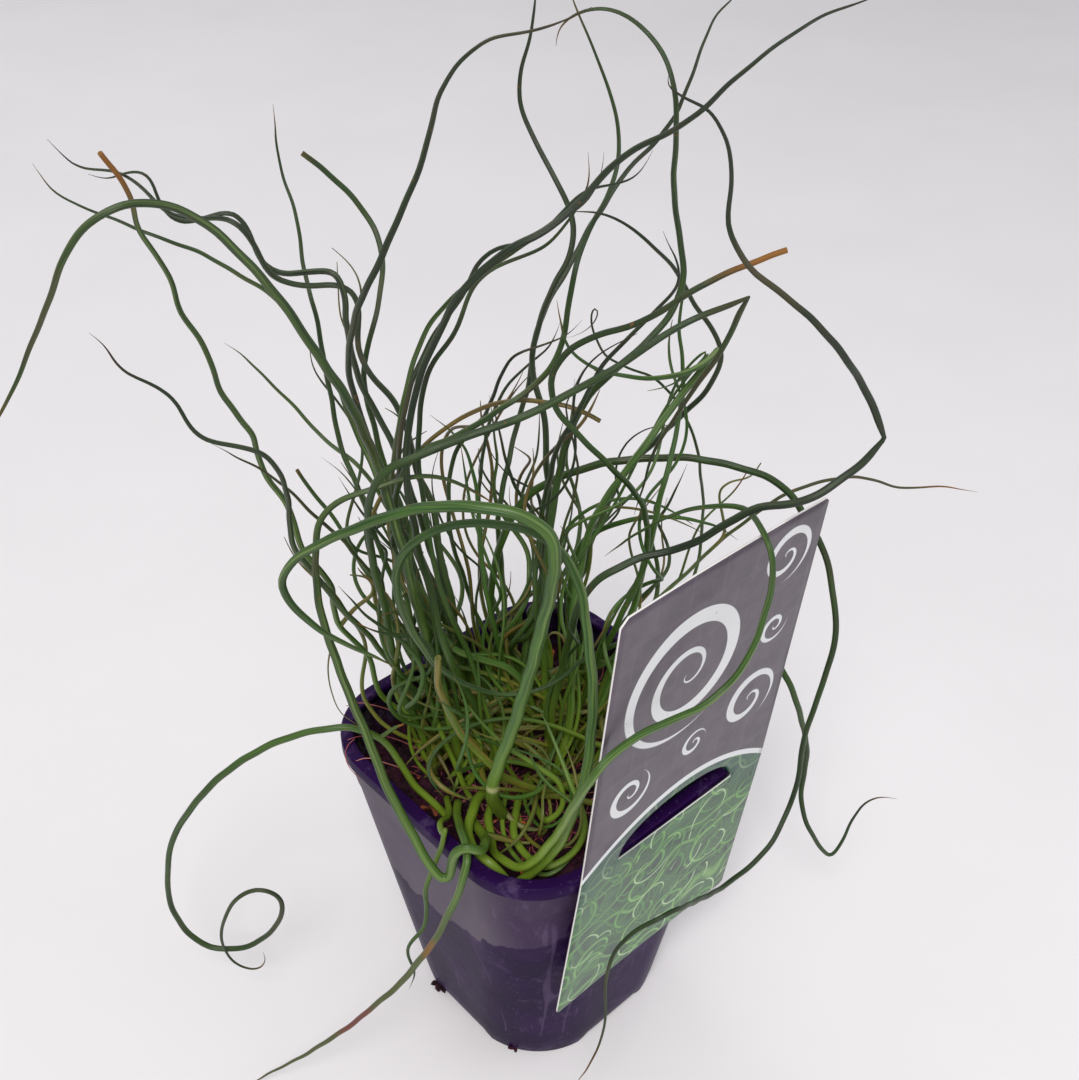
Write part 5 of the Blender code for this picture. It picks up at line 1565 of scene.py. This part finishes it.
# %% Outline and slot of the flat card
POINT_GAP = 2.2 * MM                # between two points of the outline
SMALL_CHAMFER = 1.0 * MM
LARGE_CHAMFER = 2.0 * MM            # at the upper left corner


def slot_edge(steps):
    """The slot's upper edge, from left to right."""
    arc = []
    for i in range(steps + 1):
        angle = math.pi * (1 - i / steps)
        arc.append((SLOT_HALF * math.cos(angle), SLOT_HEIGHT * math.sin(angle) ** SLOT_FULLNESS))
    return arc


def card_outline():
    """The card's outline with its chamfered corners, counter-clockwise."""
    side = LABEL_HALF
    small = SMALL_CHAMFER
    large = LARGE_CHAMFER
    corners = [(-side + small, -LABEL_BELOW), (side - small, -LABEL_BELOW), (side, -LABEL_BELOW + small),
               (side, LABEL_ABOVE - small), (side - small, LABEL_ABOVE), (-side + large, LABEL_ABOVE),
               (-side, LABEL_ABOVE - large), (-side, -LABEL_BELOW + small)]
    points = []
    for (ax, ay), (bx, by) in zip(corners, corners[1:] + corners[:1]):
        count = max(1, int(math.hypot(bx - ax, by - ay) / POINT_GAP))
        points += [(ax + (bx - ax) * i / count, ay + (by - ay) * i / count) for i in range(count)]
    return points


def in_slot(across, up):
    """Whether a flat point lies in the slot."""
    if abs(across) >= SLOT_HALF or up <= 0:
        return False
    return up < SLOT_HEIGHT * math.sin(math.acos(-across / SLOT_HALF)) ** SLOT_FULLNESS


outline = card_outline()
arc = slot_edge(40)
print("points of the outline:", len(outline), "and of the slot:", len(arc))

# %% Fill the flat card
GRID_GAP = 2.1                      # between two points inside the card, in mm
CLEAR_OF_SLOT = 0.9 * MM
CDT_INNER = 1                       # fill only what lies within the outline
across_places = np.arange(-31.5, 32, GRID_GAP) * MM
up_places = np.arange(-57.5, 87, GRID_GAP) * MM
grid = [(across, up) for across in across_places for up in up_places
        if not in_slot(across, up) and min(math.dist((across, up), p) for p in arc) > CLEAR_OF_SLOT]
flat = [Vector(p) for p in outline + arc + grid]
ring = list(range(len(outline)))
slot_points = list(range(len(outline), len(outline) + len(arc)))
fences = list(zip(ring, ring[1:] + ring[:1])) + list(zip(slot_points, slot_points[1:] + slot_points[:1]))
filled = delaunay_2d_cdt(flat, fences, [], CDT_INNER, 1e-7)
card_flat = [tuple(p) for p in filled[0]]
card_faces = [face for face in filled[2]
              if not in_slot(*(sum(card_flat[i][axis] for i in face) / len(face) for axis in (0, 1)))]
print("card triangles:", len(card_faces))

# %% Bend the card
shape = bmesh.new()
sheet = shape.verts.layers.float_vector.new("sheet")
corners = []
for across, up in card_flat:
    corner = shape.verts.new(label_point(across, up))
    corner[sheet] = Vector((across, up, 0.0)) / MM
    corners.append(corner)
for face in card_faces:
    shape.faces.new([corners[i] for i in face])
print("points of the bent card:", len(corners))

# %% Fold its tongue
TONGUE_ROWS = 16
TONGUE_NARROW = 0.97                # the tongue's width over the slot's
TONGUE_LENGTH = 15                  # in mm of the flat sheet, for the print
row = [min(corners, key=lambda c: (c[sheet].xy * MM - Vector(p)).length) for p in arc[1:-1]]
for share in np.linspace(0.1, 1.0, TONGUE_ROWS):
    lower = []
    for across, up in arc[1:-1]:
        bend = Vector((LABEL_X + across * TONGUE_NARROW, TONGUE_Y, TONGUE_TOP))
        end = Vector((LABEL_X + across * TONGUE_NARROW, TONGUE_Y, TONGUE_END))
        if share < 0.5:
            corner = shape.verts.new(label_point(across, up).lerp(bend, share * 2))
        else:
            corner = shape.verts.new(bend.lerp(end, share * 2 - 1))
        corner[sheet] = Vector((across / MM, up / MM - share * TONGUE_LENGTH, 0.0))
        lower.append(corner)
    for i in range(len(lower) - 1):
        shape.faces.new((row[i], lower[i], lower[i + 1], row[i + 1]))
    row = lower
bmesh.ops.remove_doubles(shape, verts=shape.verts, dist=SAME_PLACE)
bmesh.ops.recalc_face_normals(shape, faces=shape.faces)
front = max(shape.faces, key=lambda f: f.calc_center_median().z)
if front.normal.y > 0:
    bmesh.ops.reverse_faces(shape, faces=shape.faces)
for face in shape.faces:
    face.smooth = True
label_mesh = mesh_of("label_card", shape)
print("label points:", len(label_mesh.vertices))

# %% [markdown]
# ## The label's print
# The print is a design of this lesson's own, in the colours of such labels: a mauve stone ground with
# pale curled strokes, a white curved line, and a green tangle of blades below it. It is drawn in the
# label's own flat millimetres, which every point of the card carries, so it bends with the card and folds
# in with the tongue. Rings of cells make the curled blades, and a spiral is the fractional part of
# radius minus angle.

# %% Strokes for the print
STONE = screen(79, 68, 80)
STONE_DARK = screen(57, 48, 60)
STONE_PALE = screen(106, 95, 107)
PRINT_WHITE = screen(226, 228, 230)
printed, make, place = start_finish("label_print", 0.5, 0.25)
across, up, _ = make.stored("sheet")
flat_place = make.point(across, up, 0.0)


def spiral(centre_x, centre_y, pitch, reach, width, hand):
    """A curled stroke that thins towards its middle."""
    dx = across - centre_x
    dy = up - centre_y
    radius = make.maths("SQRT", dx * dx + dy * dy)
    angle = make.maths("ARCTAN2", dy, dx) * (hand / (2 * math.pi))
    turn = make.maths("FRACT", radius * (1.0 / pitch) - angle)
    off = abs(turn - 0.5) * pitch
    half = width * make.band(radius, 0.0, reach) + 0.2
    return make.fade(off - half, -0.12, 0.12) * make.fade(radius, reach - 0.4, reach)


CURLS = (       # middle, way between turns, radius and line width in mm, and the hand
    (-7.0, 56.0, 9.8, 20.5, 2.3, 1), (20.5, 30.0, 6.6, 9.5, 1.4, -1), (-21.0, 25.0, 5.0, 7.2, 1.0, 1),
    (22.0, 76.0, 5.6, 8.6, 1.1, -1), (24.0, 53.0, 3.8, 5.0, 0.7, 1), (1.0, 27.5, 3.4, 4.4, 0.6, -1))
motif = make.largest(*(spiral(*curl) for curl in CURLS))
print("motif nodes:", len(printed.node_tree.nodes))

# %% The stone ground above
tiles = make.node("ShaderNodeTexBrick", {"offset": 0.5}, {
    "Vector": flat_place, "Scale": 1.0, "Mortar Size": 0.5, "Mortar Smooth": 0.8, "Brick Width": 11.0,
    "Row Height": 11.0, "Color1": (0.25, 0.25, 0.25, 1), "Color2": (0.75, 0.75, 0.75, 1),
    "Mortar": (1.0, 1.0, 1.0, 1)})
ground = make.noise(flat_place, 0.16, 5.0, 0.6)
grain = make.noise(flat_place, 1.6, 4.0, 0.6)
stone = make.mix(make.band(ground, 0.3, 0.7), STONE_DARK, STONE)
stone = make.mix(make.parts(tiles["Color"])[0] * 0.36, stone, STONE_PALE)
stone = make.mix(make.band(grain, 0.5, 0.8) * 0.2, stone, STONE_PALE)
pits = make.band(make.noise(make.stretch(flat_place, (0.8, 0.4, 1.0)), 1.1, 2.0), 0.69, 0.72)
stone = make.mix(pits * 0.55, stone, screen(62, 54, 66))
stone = make.mix(motif * (0.97 - pits * 0.4), stone, PRINT_WHITE)
print("nodes up to the stone:", len(printed.node_tree.nodes))


# %% The green tangle below
def curled_blades(shift, cell, grow, width, sweep):
    """One curled blade in every cell: its stroke, and how far a point is from the stroke's middle."""
    moved = make.point(across + shift, up - shift * 0.6, shift)
    found = make.node("ShaderNodeTexVoronoi", None, {"Vector": moved, "Scale": 1.0 / cell})
    dx, dy, _ = make.parts(make.vector("SUBTRACT", moved, found["Position"])["Vector"])
    chance, other, _ = make.parts(found["Color"])
    turn = make.maths("FRACT", make.maths("ARCTAN2", dy, dx) / (2 * math.pi) + chance)
    radius = make.maths("SQRT", dx * dx + dy * dy * (0.5 + other))
    reach = cell * grow * (0.25 + turn * 0.8)
    half = width * (0.2 + make.maths("SINE", turn * math.pi))
    off = abs(radius - reach) / half
    ends = make.band(turn, 0.02, 0.06) * make.fade(turn, sweep - 0.05, sweep)
    return make.fade(off, 0.75, 1.0) * ends, off


def flowing_blades(angle, spacing, width, bend):
    """Long blades side by side, bent by slow noise: their strokes and distances from the middle."""
    push = (make.noise(flat_place, bend, 1.0) - 0.5) * 42.0
    axis = make.parts(make.node("ShaderNodeVectorRotate", {"rotation_type": "Z_AXIS"}, {
        "Vector": flat_place, "Angle": angle})["Vector"])[0]
    row = (axis + push) / spacing
    chance = make.node("ShaderNodeTexWhiteNoise", {"noise_dimensions": "1D"}, {
        "W": make.maths("FLOOR", row)})["Value"]
    off = abs(make.maths("FRACT", row) - 0.5) * spacing / (width * (0.35 + chance))
    return make.fade(off, 0.75, 1.0) * make.band(chance, 0.25, 0.3), off


# %% Lay the blades over each other
gloom = make.noise(flat_place, 0.12, 4.0)
tangle = make.mix(make.band(gloom, 0.35, 0.62), screen(26, 54, 42), screen(58, 104, 62))
BLADE_LAYERS = (        # from the lowest to the uppermost: strokes, edge colour, middle colour
    (flowing_blades(0.5, 4.6, 1.1, 0.035), (28, 68, 38), (60, 112, 58)),
    (flowing_blades(-0.7, 5.4, 1.0, 0.045), (32, 78, 42), (74, 128, 64)),
    (curled_blades(3.0, 19.0, 0.5, 1.05, 0.9), (28, 74, 38), (78, 138, 64)),
    (flowing_blades(1.4, 7.3, 0.8, 0.03), (48, 98, 50), (116, 166, 88)),
    (curled_blades(11.0, 15.0, 0.55, 0.8, 0.8), (38, 88, 42), (106, 166, 80)),
    (curled_blades(23.0, 22.0, 0.5, 0.7, 0.7), (56, 112, 54), (140, 190, 106)),
    (curled_blades(37.0, 17.0, 0.58, 0.4, 0.75), (98, 146, 88), (196, 220, 174)))
for (stroke, off), dark, light in BLADE_LAYERS:
    blade = make.mix(make.band(off, 0.0, 0.9), screen(*light), screen(*dark))
    tangle = make.mix(stroke * 0.95, tangle, blade)
# a pale sheen toward the left edge, and teal shade under the white line
glare = make.fade(across + up * 0.1, -34.0, -8.0) * 0.2
tangle = make.mix(glare, tangle, screen(112, 140, 114))
teal = make.band(up + across * across * 0.012, -4.0, 9.0)
tangle = make.mix(teal * 0.62, tangle, screen(38, 72, 72))
print("nodes up to the tangle:", len(printed.node_tree.nodes))

# %% Join the print's parts
ARCH_BEND = 0.0117                  # how fast the white line falls to the sides
ARCH_LINE = (13.4, 15.4)            # its lower and upper edge at the middle, in mm over the slot's foot
SOFT_EDGE = 0.2
arch = up + across * across * ARCH_BEND
above = make.band(arch, ARCH_LINE[1], ARCH_LINE[1] + SOFT_EDGE)
line_mask = make.band(arch, ARCH_LINE[0], ARCH_LINE[0] + SOFT_EDGE) * (1.0 - above)
picture = make.mix(above, tangle, stone)
picture = make.mix(line_mask, picture, PRINT_WHITE)
scuff = make.band(make.noise(flat_place, 0.35, 4.0, 0.7, 1.0), 0.62, 0.8)
picture = make.mix(scuff * 0.14, picture, screen(200, 196, 204))
make.surface(picture, 0.34 + scuff * 0.25 + grain * 0.1,
             make.bump(make.noise(place, 900.0, 3.0), 0.02 * MM, 0.5))
print("print nodes:", len(printed.node_tree.nodes))

# %% Mix the bare card
card, make, place = start_finish("card_back_and_edge", 0.35)
pulp = make.noise(place, 1300.0, 3.0, 0.7)
clouds = make.noise(place, 60.0, 3.0)
colour = make.mix(make.band(clouds, 0.3, 0.7), screen(226, 222, 218), screen(240, 238, 236))
colour = make.mix(make.band(pulp, 0.6, 0.8) * 0.3, colour, screen(200, 194, 186))
make.surface(colour, 0.55 + pulp * 0.2, make.bump(pulp, 0.03 * MM, 0.6))
print("card nodes:", len(card.node_tree.nodes))

# %% Thicken the card: print on the front, bare card behind and on the edges
label_mesh.materials.append(printed)
label_mesh.materials.append(card)
label = place_mesh("label_card", label_mesh)
thicken = label.modifiers.new("card", "SOLIDIFY")
thicken.thickness = LABEL_THICK
thicken.offset = 0.0
thicken.material_offset = 1
thicken.material_offset_rim = 1
apply_modifiers(label)
hand_over(label, "card", "label")
print("label faces:", len(label.data.polygons))

# %% [markdown]
# ## Floor and light
# The part is shown on a plain pale floor in soft studio light: one wide lamp above and to the left, a
# weaker one from the right, and an even pale sky for the shadows.

# %% Lay the floor
FLOOR_HALF = 6.0
corners = [(-FLOOR_HALF, -FLOOR_HALF, 0), (FLOOR_HALF, -FLOOR_HALF, 0),
           (FLOOR_HALF, FLOOR_HALF, 0), (-FLOOR_HALF, FLOOR_HALF, 0)]
floor_mesh = bpy.data.meshes.new("floor")
floor_mesh.from_pydata(corners, [], [(0, 1, 2, 3)])
floor_finish, make, place = start_finish("pale_floor", 0.3)
mottle = make.noise(place, 9.0, 4.0)
make.surface(make.mix(mottle, screen(236, 233, 235), screen(243, 241, 243)), 0.5 + mottle * 0.2)
floor_mesh.materials.append(floor_finish)
floor = place_mesh("floor", floor_mesh)
print("floor, in m:", 2 * FLOOR_HALF)

# %% Light the sky
world = bpy.data.worlds.new("sky")
world.use_nodes = True
sky = world.node_tree.nodes["Background"].inputs
sky["Color"].default_value = (0.97, 0.97, 1.0, 1.0)
sky["Strength"].default_value = 0.48
bpy.context.scene.world = world
bpy.context.scene.view_settings.view_transform = "Standard"
print("sky's strength:", round(sky["Strength"].default_value, 2))

# %% Hang the lamps
PLANT_MIDDLE = Vector((0.0, 0.0, 0.12))


def lamp(name, place, power, size, colour):
    """A square area lamp that points at the middle of the plant."""
    light = bpy.data.lights.new(name, "AREA")
    light.energy = power
    light.size = size
    light.color = colour
    holder = bpy.data.objects.new(name, light)
    holder.location = place
    holder.rotation_mode = "QUATERNION"
    holder.rotation_quaternion = (PLANT_MIDDLE - Vector(place)).to_track_quat("-Z", "Y")
    bpy.context.scene.collection.objects.link(holder)
    print(name, "lamp, in watts:", power)


lamp("window", (-0.62, -0.55, 1.2), 12.0, 0.42, (1.0, 0.98, 0.95))
lamp("fill", (0.9, -0.7, 0.8), 2.2, 0.9, (0.95, 0.97, 1.0))
lamp("back", (0.2, 1.1, 0.9), 2.6, 0.8, (1.0, 1.0, 1.0))

# %% Bring the scene up to date
bpy.context.view_layer.update()
